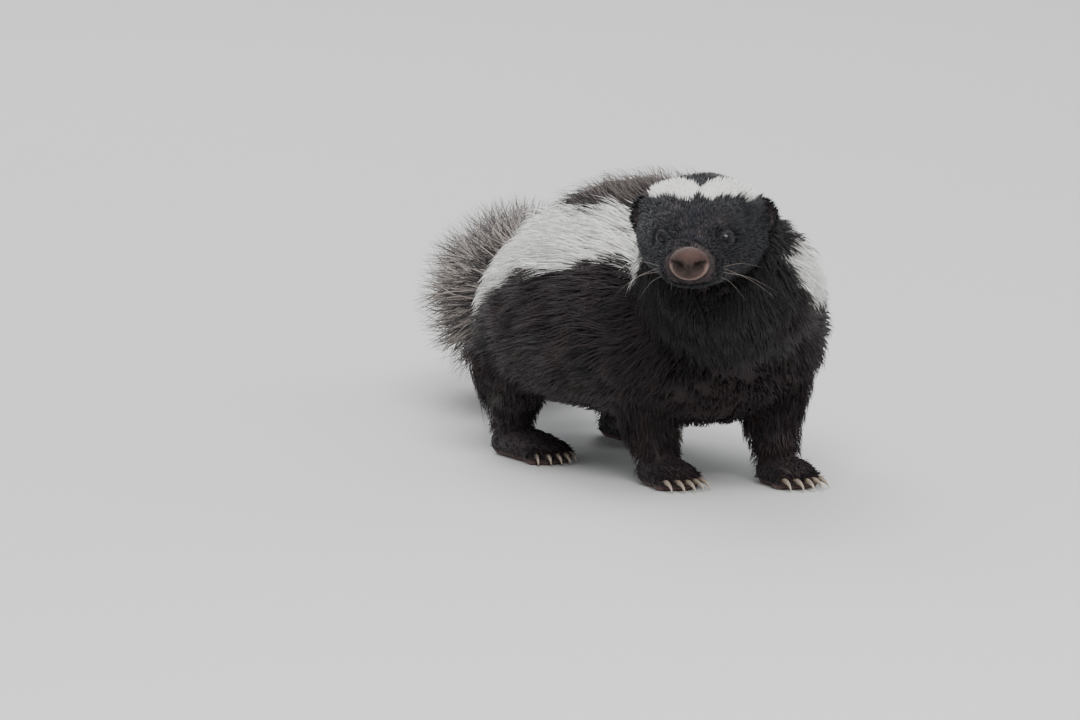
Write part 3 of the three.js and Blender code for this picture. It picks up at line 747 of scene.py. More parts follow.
def grown(form, rng, settings, hair, count, shares, angles, *, tip, per_tuft, spread, close, twist,
          length=1.0, width=1.0, lie=1, droop=0.0, root=-0.35, sag=0.0, rise=1.7, kind=LONG_STRAND,
          hidden=(), fit=None, wave=24, calm=0.0, puff=None, seed=1):
    """Strands grown over part of a form; length and width are shares of the hair's and the strand's.

    lie is 1 along the form or -1 against it, and droop is how far the strands turn down its sides. calm is
    how much smoother the white coat lies than the dark, and puff how much further out tips stand at roots.
    """
    count = int(count * settings.density)
    share, angle, tuft_share, tuft_angle, pick = scatter(form, rng, count, shares, angles, per_tuft, spread)
    roots = form.point(share, angle, 0.0)
    keep = np.ones(len(share), bool)
    for other, level in hidden:
        keep &= ~other.holds(roots, level)
    share, angle, tuft_share, tuft_angle, pick, roots = (
        values[keep] for values in (share, angle, tuft_share, tuft_angle, pick, roots))
    by_tuft = rng.normal(0, 1, (4, pick.max() + 1 if len(pick) else 1))[:, pick]
    by_strand = rng.normal(0, 1, (4, len(pick)))

    def varied(value, amounts, row):
        return value + amounts[0] * by_tuft[row] + amounts[1] * by_strand[row]

    longs = length * mm(hair) * np.clip(varied(1, LENGTH_VARIES, 0), 0.45, 1.6)
    if fit is not None:
        longs = longs * fit(share, angle, roots)
    wild = 1 - calm * (white_of(roots) if calm else 0)
    swing = wild * twist * varied(0.6 * ripple(roots, wave, seed), SWING_VARIES, 1)
    swing = swing + droop * -np.cos(angle)
    tips = np.clip(varied(0.5, TIP_VARIES, 2) + 0.2 * ripple(roots, wave, seed + 1), 0, 1)
    tips = mix(*tip, tips) * (puff(roots) if puff else 1)
    return coat_strands(
        form, share, angle,
        reach=lie * longs * np.cos(swing),
        round_reach=longs * np.sin(swing),
        tuft=(tuft_share, tuft_angle, close * np.broadcast_to(wild, share.shape)[:, None]),
        root=root,
        tip=tips,
        width=width * mm(settings.strand) * np.clip(1 + WIDTH_VARIES * by_strand[3], 0.5, 1.7),
        sag=sag * longs,
        kind=kind,
        rise=rise,
    )


# The skin

# Detail is added to the front of the head, and again near its eyes and mouth.
FRONT = {"y": -6, "x": 40}
NEAR_EYE = 9
NEAR_MOUTH = {"y": -20, "z": (-24, -13)}
# Rounds of evening out on the face, the feet and the rest, and where the face and the feet begin.
EVEN = {"face": 5, "feet": 3, "body": 24}
EVEN_FACE = {"y": 20, "reach": 75}
EVEN_FEET = 14
FACE_REACH = 62
# The lips, each with its height over the mouth's line, reach and fullness, and the line's reach and depth.
LIPS = [(2.2, 1.7, 0.8), (-2.2, 1.6, 0.6)]
MOUTH_CUT = (0.75, 1.3)
# Bare skin round the nose pad, the lids' dark rims round the eyes, and the soles.
NOSE_FLAT = 0.86
BARE_REACH = 10.8
FUR_FROM_NOSE = 9.5
RIM_REACH = (6.2, 5.2)
SOLE_HEIGHTS = (3.0, 1.0)


def dense_part(mesh, near):
    """Halves the edges of the faces of a mesh whose middles pass a test on points of the head's frame."""
    whole = bmesh.new()
    whole.from_mesh(mesh)
    middles = np.array([face.calc_center_median() for face in whole.faces])
    chosen = near(head_in((middles - SHIFT) / MM))
    edges = {edge for face, wanted in zip(whole.faces, chosen) if wanted for edge in face.edges}
    bmesh.ops.subdivide_edges(whole, edges=list(edges), cuts=1, use_grid_fill=True)
    bmesh.ops.triangulate(whole, faces=whole.faces)
    whole.to_mesh(mesh)
    whole.free()


def places_of(mesh):
    co = np.empty(len(mesh.vertices) * 3, np.float32)
    mesh.vertices.foreach_get("co", co)
    return (co.reshape(-1, 3).astype(float) - SHIFT) / MM


def relax(mesh, points, strength):
    """Evens out a surface, each point by its own number of rounds."""
    pairs = np.empty(len(mesh.edges) * 2, np.int32)
    mesh.edges.foreach_get("vertices", pairs)
    a, b = pairs.reshape(-1, 2).T
    count = np.maximum(np.bincount(a, minlength=len(points)) + np.bincount(b, minlength=len(points)), 1)
    for turn in range(int(strength.max())):
        mean = np.stack([
            np.bincount(a, points[b, k], len(points)) + np.bincount(b, points[a, k], len(points))
            for k in range(3)
        ], 1) / count[:, None]
        points = mix(points, mean, 0.5 * (strength > turn)[:, None])
    return points


def ear_axes(side):
    out = math.radians(EAR["out"])
    opening = unit(np.array((side * math.sin(out), -math.cos(out), EAR["rise"])))
    across = unit(np.cross((0, 0, 1), opening))
    return np.array((across, opening, np.cross(across, opening)))


def ear_rim(side, share, angle, lift=0.0, inner=False):
    """Points of an ear in the head's frame; share runs from the middle of its back or cup to the rim."""
    wall = EAR["wall"] if inner else 0
    deep = EAR["deep"] - wall + (0 if inner else lift)
    last = math.acos(-EAR["cut"] / EAR["deep"])
    turn = share * last
    across = np.sin(turn) * (EAR["wide"] - wall + lift) * np.cos(angle)
    tall = np.sin(turn) * (EAR["high"] - wall + lift) * np.sin(angle)
    depth = -np.cos(turn) * deep + (1.2 * wall)
    local = np.stack(np.broadcast_arrays(across, depth, tall), -1)
    return local @ ear_axes(side) + (side * EAR["x"], EAR["y"], EAR["z"])


def ear_shell(side):
    shares = np.linspace(0.04, 1, 22)[:, None]
    angles = (np.arange(40) * 2 * math.pi / 40)[None, :]
    rings = np.concatenate([ear_rim(side, shares, angles), ear_rim(side, shares[::-1], angles, inner=True)])
    vertices, faces = closed_grid(rings)
    return head_out(vertices), faces


def eye_axes(side):
    out, up = math.radians(EYE["out"]), math.radians(EYE["up"])
    ahead = np.array((side * math.sin(out) * math.cos(up), -math.cos(out) * math.cos(up), math.sin(up)))
    across = unit(np.cross((0, 0, 1), ahead))
    return np.array((across, np.cross(ahead, across), ahead))


def foot_form(leg):
    paw = leg["paw"]
    x, y = leg["ankle"]
    heel = y + paw["heel_back"]
    wide, high, long = paw["wide"], paw["high"], paw["long"]
    rows = [
        (x, heel, high - 1.5, wide - 2.5, high - 2, FOOT_DROP, 0),
        (x, heel - long / 2, high - 1, wide, high, FOOT_DROP, 0),
        (x, heel - long, high - 2, wide + 0.5, high - 2, FOOT_DROP, 0),
    ]
    return Form(rows, start_cap=high, end_cap=high)


def paw_shells(leg):
    shells = [shell(foot_form(leg), 30, 36)]
    for place_of_toe, _ in toes(leg):
        shells.append(egg(place_of_toe, TOE_RADII, wide=20, high=12))
    return shells


def toes(leg):
    """Each toe's middle and its share across the foot, from -1 on the animal's right to 1."""
    paw = leg["paw"]
    x, y = leg["ankle"]
    made = []
    for across in np.linspace(-1, 1, TOE_COUNT):
        ahead = y + paw["heel_back"] - paw["long"] + 1.5 + 4.5 * across**2
        made.append((np.array((x + across * (paw["wide"] - 1.8), ahead, 3.4)), across))
    return made


def groove(points, line, reach, depth, inward):
    """Moves points near a smooth line inwards, most on the line itself."""
    return points + inward * (depth * near_line(points, line, reach))[:, None]


def open_lids(points, side):
    """Folds the skin round an eye: open over the eyeball, a rim at its edge, and on into the face."""
    away = points - eye_place(side)
    distance = np.linalg.norm(away, axis=1)
    near = distance < 3 * EYE["radius"]
    across, up, ahead = (unit(away) @ eye_axes(side).T).T
    radius = EYE["radius"]
    spread = np.hypot(np.arcsin(np.clip(across, -1, 1)) * radius / LID["wide"],
                      np.arcsin(np.clip(up, -1, 1)) * radius / LID["high"])
    wanted = mix(radius - LID["sunk"], radius + LID["rim"], smooth(spread, 0.92, 1.08))
    hold = smooth(spread, LID["ends"], LID["rim_ends"]) * near * (ahead > 0)
    made = mix(distance, wanted, hold)
    return eye_place(side) + unit(away) * made[:, None]


def rough_skin(settings):
    """The skin's forms, ears, paws and lids joined into one closed mesh."""
    shells = [shell(TORSO, 70, 90), shell(NECK, 50, 70), shell(TAIL, 60, 48, -0.25), shell(HEAD, 110, 110)]
    for leg, form in zip(LEGS, LEG_FORMS):
        shells.append(shell(form, 60, 44))
        shells.extend(paw_shells(leg))
    for side in (-1, 1):
        shells.append(ear_shell(side))
        vertices, faces = egg(eye_place(side), np.full(3, EYE["radius"] + LID["rim"]))
        shells.append((head_out(vertices), faces))
    rough = new_mesh("skin_rough", *joined(shells))
    remesh = rough.modifiers.new("one_surface", "REMESH")
    remesh.mode = "VOXEL"
    remesh.voxel_size = settings.skin_detail
    mesh = bpy.data.meshes.new_from_object(rough.evaluated_get(bpy.context.evaluated_depsgraph_get()))
    bpy.data.objects.remove(rough)
    return mesh


def on_front(local):
    return (local[:, 1] < FRONT["y"]) & (np.abs(local[:, 0]) < FRONT["x"])


def by_features(local):
    """Which points lie by an eye or the mouth."""
    eyes = np.min([np.linalg.norm(local - eye_place(side), axis=1) for side in (-1, 1)], 0) < NEAR_EYE
    low, high = NEAR_MOUTH["z"]
    return eyes | ((local[:, 2] < high) & (local[:, 1] < NEAR_MOUTH["y"]) & (local[:, 2] > low))


def carved(points):
    """The skin's points with the lips, the mouth's line and the lids worked into the face."""
    local = head_in(points)
    face = np.linalg.norm(local, axis=1) < FACE_REACH
    outward = unit(local - local * (0, 1, 0) - (0, 0, HEAD_AXIS_Z))
    for side in (-1, 1):
        line = np.array(MOUTH) * (side, 1, 1)
        made = local
        for rise, reach, depth in LIPS:
            made = groove(made, line + (0, 0, rise), reach, depth, outward)
        made = np.where(face[:, None], groove(made, line, *MOUTH_CUT, -outward), local)
        local = np.where(face[:, None], open_lids(made, side), made)
    points = np.where(face[:, None], head_out(local), points)
    points[:, 2] = np.maximum(points[:, 2], 0)
    return points, local, face


def from_nose(local):
    """How far points of the head's frame are from the middle of the nose pad, which is a little flat."""
    return np.linalg.norm((local - (0, NOSE["y"], NOSE["z"])) / (1, 1, NOSE_FLAT), axis=1)


def build_skin(settings):
    mesh = rough_skin(settings)
    for near in (on_front, by_features):
        dense_part(mesh, near)
    points = places_of(mesh)
    local = head_in(points)
    head = (local[:, 1] < EVEN_FACE["y"]) & (np.linalg.norm(local, axis=1) < EVEN_FACE["reach"])
    body = np.where(points[:, 2] < EVEN_FEET, EVEN["feet"], EVEN["body"])
    points, local, face = carved(relax(mesh, points, np.where(head, EVEN["face"], body)))
    mesh.vertices.foreach_set("co", place(points).astype(np.float32).ravel())
    mesh.polygons.foreach_set("use_smooth", np.ones(len(mesh.polygons), bool))
    mesh.update()
    mesh.name = "skin"
    rims = [smooth(np.linalg.norm(local - eye_place(side), axis=1), *RIM_REACH) * face for side in (-1, 1)]
    values = {
        "white": white_of(points),
        "bare": np.exp(-((from_nose(local) / BARE_REACH) ** 8)) * face,
        "rims": np.max(rims, 0),
        "soles": smooth(points[:, 2], *SOLE_HEIGHTS),
    }
    return linked("skin", mesh, values)


# Materials

def new_group(name, inputs, outputs):
    """An empty shader node group with its input and output nodes, and a way to add nodes and links."""
    tree = bpy.data.node_groups.new(name, "ShaderNodeTree")
    for label, kind, value in inputs:
        socket = tree.interface.new_socket(name=label, in_out="INPUT", socket_type=kind)
        socket.default_value = value
    for label, kind in outputs:
        tree.interface.new_socket(name=label, in_out="OUTPUT", socket_type=kind)
    return tree, tree.nodes.new("NodeGroupInput"), tree.nodes.new("NodeGroupOutput")


def mixed(tree, share, low, high, blend="MIX"):
    """A colour mix; each of share, low and high is a socket or a value."""
    node = tree.nodes.new("ShaderNodeMix")
    node.data_type = "RGBA"
    node.blend_type = blend
    for socket, value in ((node.inputs[0], share), (node.inputs[6], low), (node.inputs[7], high)):
        if isinstance(value, bpy.types.NodeSocket):
            tree.links.new(value, socket)
        else:
            socket.default_value = value
    return node.outputs[2]


def named_value(tree, name):
    node = tree.nodes.new("ShaderNodeAttribute")
    node.attribute_name = name
    return node.outputs["Fac"]


def ramp(tree, value, low, high, to_low=0.0, to_high=1.0):
    node = tree.nodes.new("ShaderNodeMapRange")
    node.interpolation_type = "SMOOTHSTEP"
    tree.links.new(value, node.inputs["Value"])
    for key, number in zip(("From Min", "From Max", "To Min", "To Max"), (low, high, to_low, to_high)):
        node.inputs[key].default_value = number
    return node.outputs["Result"]


def noise(tree, scale, detail=4.0, rough=0.6, stretch=None):
    node = tree.nodes.new("ShaderNodeTexNoise")
    node.inputs["Scale"].default_value = scale
    node.inputs["Detail"].default_value = detail
    node.inputs["Roughness"].default_value = rough
    where = tree.nodes.new("ShaderNodeTexCoord").outputs["Object"]
    if stretch:
        mapping = tree.nodes.new("ShaderNodeMapping")
        mapping.inputs["Scale"].default_value = stretch
        tree.links.new(where, mapping.inputs["Vector"])
        where = mapping.outputs["Vector"]
    tree.links.new(where, node.inputs["Vector"])
    return node.outputs["Fac"]


def rgb(colour):
    return (*colour, 1.0)


def coat_colour_group():
    """The colour of a strand from its marking, its tone with painted shade and highlight in it, and the way
    up it.
    """
    tree, given, made = new_group(
        "Coat colour",
        [
            ("Dark", "NodeSocketColor", (0.01, 0.01, 0.01, 1)),
            ("Dark tip", "NodeSocketColor", (0.05, 0.03, 0.03, 1)),
            ("White", "NodeSocketColor", (0.8, 0.8, 0.8, 1)),
            ("White root", "NodeSocketColor", (0.6, 0.5, 0.5, 1)),
            ("Pale", "NodeSocketColor", (0.4, 0.3, 0.3, 1)),
        ],
        [("Color", "NodeSocketColor")],
    )
    white, tone_and_painted_light, grow, pale = (named_value(tree, key) for key in ("white", "tone_and_painted_light", "grow", "pale"))
    # The tone, with its painted shade and highlight, rises towards the tip.
    tone = tree.nodes.new("ShaderNodeMath")
    tone.operation = "MULTIPLY"
    tree.links.new(tone_and_painted_light, tone.inputs[0])
    tree.links.new(ramp(tree, grow, 0.0, 1.0, 0.35, 1.0), tone.inputs[1])
    dark = mixed(tree, tone.outputs[0], given.outputs["Dark"], given.outputs["Dark tip"])
    dark = mixed(tree, pale, dark, given.outputs["Pale"])
    light = mixed(tree, ramp(tree, grow, 0.0, 0.4), given.outputs["White root"], given.outputs["White"])
    # White hair goes towards its root colour where the tone is low, painted shade included.
    light = mixed(tree, ramp(tree, tone_and_painted_light, 0.0, 1.0, 0.35, 0.0), light, given.outputs["White root"])
    tree.links.new(mixed(tree, ramp(tree, white, 0.3, 0.7), dark, light), made.inputs["Color"])
    return tree


def fine_bump_group():
    """The height of fine skin: pores and creases over soft swells."""
    tree, given, made = new_group(
        "Fine skin",
        [("Scale", "NodeSocketFloat", 400.0)],
        [("Height", "NodeSocketFloat")],
    )
    where = tree.nodes.new("ShaderNodeTexCoord").outputs["Object"]
    cells = tree.nodes.new("ShaderNodeTexVoronoi")
    cells.feature = "DISTANCE_TO_EDGE"
    swell = tree.nodes.new("ShaderNodeTexNoise")
    for node in (cells, swell):
        tree.links.new(where, node.inputs["Vector"])
        tree.links.new(given.outputs["Scale"], node.inputs["Scale"])
    add = tree.nodes.new("ShaderNodeMath")
    add.operation = "ADD"
    tree.links.new(ramp(tree, cells.outputs["Distance"], 0.0, 0.25), add.inputs[0])
    tree.links.new(swell.outputs["Fac"], add.inputs[1])
    tree.links.new(add.outputs[0], made.inputs["Height"])
    return tree


def new_material(name, roughness, specular=0.5):
    made = bpy.data.materials.new(name)
    made.use_nodes = True
    shader = made.node_tree.nodes["Principled BSDF"]
    shader.inputs["Roughness"].default_value = roughness
    shader.inputs["Specular IOR Level"].default_value = specular
    return made, made.node_tree, shader


def use_group(tree, group, **values):
    node = tree.nodes.new("ShaderNodeGroup")
    node.node_tree = group
    for key, value in values.items():
        node.inputs[key.replace("_", " ")].default_value = value
    return node


def add_bump(tree, shader, height, strength, distance):
    bump = tree.nodes.new("ShaderNodeBump")
    bump.inputs["Strength"].default_value = strength
    bump.inputs["Distance"].default_value = distance
    tree.links.new(height, bump.inputs["Height"])
    tree.links.new(bump.outputs["Normal"], shader.inputs["Normal"])


def group_of(name, build):
    return bpy.data.node_groups.get(name) or build()


def coat_material(name, settings, dark=None, dark_tip=None, roughness=0.56):
    made, tree, shader = new_material(name, roughness, 0.28)
    colour = use_group(
        tree, group_of("Coat colour", coat_colour_group),
        Dark=rgb(dark or settings.dark), Dark_tip=rgb(dark_tip or settings.dark_tip),
        White=rgb(settings.white), White_root=rgb(settings.white_root), Pale=rgb(settings.pale),
    )
    tree.links.new(colour.outputs["Color"], shader.inputs["Base Color"])
    streak = noise(tree, 900.0, 3.0, 0.6, (1.0, 0.35, 1.0))
    dull = ramp(tree, streak, 0.3, 0.7, roughness - 0.08, roughness + 0.12)
    tree.links.new(dull, shader.inputs["Roughness"])
    shader.inputs["Sheen Weight"].default_value = 0.03
    shader.inputs["Sheen Roughness"].default_value = 0.4
    return made


def skin_material(settings):
    made, tree, shader = new_material("skin", 0.6, 0.35)
    streak = noise(tree, 700.0, 5.0, 0.7, (1.0, 0.3, 1.0))
    dark = mixed(tree, streak, rgb(settings.dark), rgb(settings.dark_tip))
    light = mixed(tree, streak, rgb(settings.white_root), rgb(settings.white))
    colour = mixed(tree, ramp(tree, named_value(tree, "white"), 0.35, 0.65), dark, light)
    bare = mixed(tree, streak, rgb(settings.bare), rgb(settings.bare_light))
    colour = mixed(tree, named_value(tree, "bare"), colour, bare)
    colour = mixed(tree, named_value(tree, "rims"), colour, rgb(settings.lid))
    colour = mixed(tree, named_value(tree, "soles"), colour, rgb(settings.sole))
    tree.links.new(colour, shader.inputs["Base Color"])
    fine = use_group(tree, group_of("Fine skin", fine_bump_group), Scale=900.0)
    add_bump(tree, shader, fine.outputs["Height"], 0.5, 0.0004)
    return made


def colour_setting(name, description, default):
    return FloatVectorProperty(
        name=name, description=description, default=default, size=3, min=0, max=1, subtype="COLOR")


def length_setting(name, description, default, least=0.0):
    return FloatProperty(name=name, description=description, default=default, min=least, unit="LENGTH")


def angle_setting(name, description, degrees):
    return FloatProperty(name=name, description=description, default=math.radians(degrees), subtype="ANGLE")


class SkunkCoatSettings(bpy.types.PropertyGroup):
    """Sizes and colours of the skin and the coat."""

    skin_detail: length_setting("Skin detail", "Edge length of the skin's faces", 0.0013, 0.0008)
    flank_hair: length_setting("Flank hair", "Length of the coat on the flanks and back", 0.027)
    neck_hair: length_setting("Neck hair", "Length of the coat on the neck and throat", 0.02)
    tail_hair: length_setting("Tail hair", "Length of the tail's long hair", 0.07)
    face_hair: length_setting("Face hair", "Length of the short fur of the face", 0.0052)
    leg_hair: length_setting("Leg hair", "Length of the fur of the legs", 0.011)
    strand: length_setting("Strand width", "Width of one strand of the body's coat", 0.0011)
    density: FloatProperty(
        name="Density", description="Share of the full number of strands", default=1.0, min=0.05, max=1.0,
        subtype="FACTOR")
    seed: IntProperty(name="Seed", description="Start of the coat's random draws", default=7)
    dark: colour_setting("Dark hair", "Colour of the dark coat at its roots", (0.005, 0.004, 0.005))
    dark_tip: colour_setting("Dark hair tips", "Colour of the dark coat's paler tips", (0.042, 0.024, 0.025))
    face: colour_setting("Face hair", "Colour of the face's fur at its roots", (0.005, 0.005, 0.007))
    face_tip: colour_setting("Face hair tips", "Colour of the face's fur at its tips", (0.012, 0.013, 0.02))
    white: colour_setting("White hair", "Colour of the stripes and the crown", (0.93, 0.92, 0.89))
    white_root: colour_setting("White hair roots", "Colour of white hair near the skin", (0.84, 0.8, 0.74))
    pale: colour_setting("Pale tail hair", "Colour of the tail's pale hairs", (0.4, 0.34, 0.3))
    bare: colour_setting("Bare skin", "Colour of the skin round the nose pad", (0.02, 0.014, 0.014))
    bare_light: colour_setting("Bare skin, light", "Its lighter patches", (0.024, 0.016, 0.016))
    lid: colour_setting("Lid rims", "Colour of the rims of the lids", (0.01, 0.009, 0.011))
    sole: colour_setting("Soles", "Colour of the soles of the feet", (0.12, 0.07, 0.06))


class SkunkFaceSettings(bpy.types.PropertyGroup):
    """Sizes and colours of the eyes, nose, claws and whiskers."""

    eye_colour: colour_setting("Iris", "Colour of the dark brown iris", (0.005, 0.003, 0.003))
    nose_colour: colour_setting("Nose pad", "Main colour of the nose pad", (0.07, 0.035, 0.028))
    # Nose pad, dark: its dark mottle, and also painted shade in the nostrils and creases.
    nose_dark_and_hollow_shade: colour_setting("Nose pad, dark", "Colour in its nostrils and creases", (0.012, 0.006, 0.004))
    nose_light: colour_setting("Nose rim", "Paler colour of its lower rim", (0.2, 0.13, 0.11))
    claw_colour: colour_setting("Claws", "Colour of the claws at their roots", (0.1, 0.07, 0.05))
    claw_tip: colour_setting("Claw tips", "Colour of the claws at their tips", (0.45, 0.38, 0.3))
    whisker: length_setting("Whisker width", "Width of a whisker at its root", 0.00021)


class SkunkStageSettings(bpy.types.PropertyGroup):
    """The camera and the floor."""

    lens: FloatProperty(name="Lens", description="Focal length", default=333.0, unit="CAMERA")
    distance: length_setting("Distance", "From the camera to the head", 5.0)
    azimuth: angle_setting("Azimuth", "Way round the animal", -30)
    elevation: angle_setting("Elevation", "Height angle of the camera", 8)
    floor: colour_setting("Floor", "Colour of the pale floor", (0.58, 0.58, 0.565))


def mm(value):
    """A length setting, kept in metres, in the millimetres of the design frame."""
    return value / MM


class SKUNK_OT_skin(bpy.types.Operator):
    """One skin for the whole body, with lids, lips, ears and paws"""

    bl_idname = "skunk.skin"
    bl_label = "Skin"

    def execute(self, context):
        settings = context.scene.skunk_coat
        made = build_skin(settings)
        nodes = ["torso", "neck", "tail", "head", "ear_left", "ear_right", *(leg["name"] for leg in LEGS)]
        finish_piece(made, skin_material(settings), "coat", *nodes)
        return {"FINISHED"}


def build_coats(settings, parts, material, slot, batches_of, extra=None):
    """A coat piece for each part, its batches of strands grown by a function of the part."""
    for part in parts:
        rng = np.random.default_rng(settings.seed + part["seed"])
        finish_piece(coat_piece(part["name"], batches_of(settings, part, rng), rng, extra), material, slot)


def torso_fit(share, angle, roots):
    """Hair is shorter towards the shoulders and under the belly."""
    return mix(0.72, 1, smooth(share, 0.0, 0.4)) * mix(1, 0.6, smooth(-np.sin(angle), 0.3, 0.9))


TORSO_COATS = [
    {"name": "coat_flank_right", "angles": (-0.72, 1.0), "under": 7000, "guard": 6600, "seed": 1},
    {"name": "coat_back", "angles": (1.0, 2.14), "under": 5400, "guard": 5800, "seed": 2},
    {"name": "coat_flank_left", "angles": (2.14, 3.86), "under": 6400, "guard": 6000, "seed": 3},
    {"name": "coat_belly", "angles": (3.86, 5.56), "under": 3200, "guard": 2200, "seed": 4},
]
TORSO_LAYERS = {
    "under": {
        "length": 0.72, "width": 1.25, "tip": (0.4, 0.86), "per_tuft": 5, "spread": 2.6, "close": 0.3,
        "kind": SHORT_STRAND,
    },
    "guard": {"width": 0.72, "tip": (0.6, 1.12), "per_tuft": 8, "spread": 2.4, "close": 0.42},
}
TORSO_LIE = {"droop": 0.26, "sag": 0.04, "twist": 0.3, "wave": 34, "calm": 0.6, "fit": torso_fit}
# Fine hairs stand up a little out of the back and catch the light.
FRINGE = {"angles": (1.1, 2.04), "count": 1100, "pale": 0.28}
FRINGE_HAIR = {
    "length": 0.9, "width": 0.4, "tip": (1.0, 1.55), "per_tuft": 2, "spread": 3.0, "close": 0.1, "twist": 0.5,
}


def torso_batches(settings, part, rng):
    hidden = [(NECK, -0.6), (TAIL, -0.6), *((form, -1.0) for form in LEG_FORMS)]
    shared = {**TORSO_LIE, "seed": part["seed"], "hidden": hidden}

    def layer(count, shares, angles, style):
        return grown(TORSO, rng, settings, settings.flank_hair, count, shares, angles, **{**shared, **style})

    batches = [layer(part[name], (0.0, 0.99), part["angles"], style) for name, style in TORSO_LAYERS.items()]
    if part["name"] == "coat_back":
        fringe = layer(FRINGE["count"], (0.1, 0.95), FRINGE["angles"], FRINGE_HAIR)
        batches.append({**fringe, "pale": FRINGE["pale"]})
    return batches


class SKUNK_OT_body_coat(bpy.types.Operator):
    """The long coat of the torso, in four pieces round it"""

    bl_idname = "skunk.body_coat"
    bl_label = "Body coat"

    def execute(self, context):
        settings = context.scene.skunk_coat
        build_coats(settings, TORSO_COATS, coat_material("coat", settings), "coat", torso_batches)
        return {"FINISHED"}


NECK_COATS = [
    {"name": "coat_neck_right", "angles": (QUARTER, 3 * QUARTER), "under": 5600, "guard": 6200, "seed": 11},
    {"name": "coat_neck_left", "angles": (-QUARTER, QUARTER), "under": 5600, "guard": 6200, "seed": 12},
]
NECK_LAYERS = {
    "under": {
        "length": 0.75, "width": 1.15, "tip": (0.35, 0.85), "per_tuft": 5, "spread": 2.4, "close": 0.3,
        "kind": SHORT_STRAND,
    },
    "guard": {"width": 0.66, "tip": (0.5, 1.15), "per_tuft": 7, "spread": 2.2, "close": 0.4},
}
# It lies back over the shoulders, against the way that the form runs.
NECK_LIE = {"lie": -1, "droop": 0.35, "sag": 0.1, "twist": 0.26, "wave": 30, "calm": 0.5}


def neck_batches(settings, part, rng):
    shared = {**NECK_LIE, "seed": part["seed"], "hidden": [(HEAD, -1.5), (TORSO, -0.6)]}
    return [
        grown(
            NECK, rng, settings, settings.neck_hair, part[name], (0.0, 0.995), part["angles"],
            **shared, **style,
        )
        for name, style in NECK_LAYERS.items()
    ]


class SKUNK_OT_neck_coat(bpy.types.Operator):
    """The coat of the neck and throat, which lies back over the shoulders"""

    bl_idname = "skunk.neck_coat"
    bl_label = "Neck coat"

    def execute(self, context):
        settings = context.scene.skunk_coat
        build_coats(settings, NECK_COATS, coat_material("coat_neck", settings), "coat", neck_batches)
        return {"FINISHED"}


TAIL_COATS = [
    {"name": "tail_coat_upper", "angles": (0.0, math.pi), "count": 7000, "seed": 21},
    {"name": "tail_coat_lower", "angles": (math.pi, 2 * math.pi), "count": 5600, "seed": 22},
]
TAIL_HAIR = {
    "width": 0.85, "tip": (0.3, 1.15), "root": -0.4, "per_tuft": 9, "spread": 2.2, "close": 0.6, "sag": 0.03,
    "rise": 1.1, "twist": 0.34,
}


def pale_tail(roots, rng):
    """The tail mixes dark hair with pale and a few white ones."""
    patches = 0.5 + 0.3 * ripple(roots, 30, 19)
    return np.clip((rng.uniform(0, 1, len(roots)) < patches) * rng.uniform(0.35, 1.0, len(roots)), 0, 1)


def tail_fit(share, angle, roots):
    return mix(0.55, 1, smooth(share, 0.0, 0.3))


def tail_batches(settings, part, rng):
    return [grown(
        TAIL, rng, settings, settings.tail_hair, part["count"], (0.0, 0.97), part["angles"],
        fit=tail_fit, seed=part["seed"], hidden=[(TORSO, -0.6)], **TAIL_HAIR,
    )]


class SKUNK_OT_tail_coat(bpy.types.Operator):
    """The tail's long hair, which spreads out as it runs back"""

    bl_idname = "skunk.tail_coat"
    bl_label = "Tail coat"

    def execute(self, context):
        settings = context.scene.skunk_coat
        material = coat_material("tail_coat", settings, roughness=0.55)
        build_coats(settings, TAIL_COATS, material, "tail_coat", tail_batches, pale_tail)
        return {"FINISHED"}


FACE_FURS = [
    {"name": "face_fur_right", "side": -1, "angles": (-QUARTER, QUARTER), "seed": 31},
    {"name": "face_fur_left", "side": 1, "angles": (QUARTER, 3 * QUARTER), "seed": 32},
]
FACE_COUNT = 14000
EAR_COUNT = 1300
FACE_HAIR = {
    "width": 0.42, "tip": (0.15, 0.8), "root": -0.3, "per_tuft": 4, "spread": 1.2, "close": 0.2, "rise": 2.2,
    "kind": SHORT_STRAND, "droop": 0.2, "twist": 0.2, "wave": 16, "calm": 0.6, "seed": 33,
}
# The opening in the fur round each eye.
EYE_CLEAR = {"wide": 4.3, "high": 3.5}


def face_fit(share, angle, roots):
    """Very short on the muzzle, longer over the cheeks, crown and back of the head."""
    _, y, z = head_in(roots).T
    length = mix(0.42, 1.0, smooth(y, -38, -8))
    length = length * mix(1, 1.6, smooth(y, 0, 24))
    return length * mix(1, 1.8, smooth(z, 8, -8) * smooth(y, -22, 4))


def face_puff(roots):
    """The cheeks, the jaw and the sides of the crown are full; the rest of the face is sleek."""
    x, y, z = head_in(roots).T
    cheeks = 2.2 * smooth(y, -6, 20) * smooth(z, 10, 2)
    crown = 1.5 * smooth(np.abs(x), 13, 25) * smooth(z, 5, 12) * smooth(y, -16, 2)
    return 1 + cheeks + crown


def face_keep(roots):
    """Which roots are clear of the eyes and the nose pad."""
    local = head_in(roots)
    clear = from_nose(local) > FUR_FROM_NOSE
    for side in (-1, 1):
        across, up, _ = ((local - eye_place(side)) @ eye_axes(side).T).T
        clear &= np.hypot(across / EYE_CLEAR["wide"], up / EYE_CLEAR["high"]) > 1
    return clear


def kept(batch, keep):
    """The strands of a batch that pass."""
    per = batch["per"]
    each = np.repeat(keep, per)
    made = {key: batch[key][each] for key in ("vertices", "patches", "grow")}
    faces = strand_faces(int(keep.sum()), (per - 1) // 3)
    return {**made, "faces": faces, "per": per, "roots": batch["roots"][keep]}


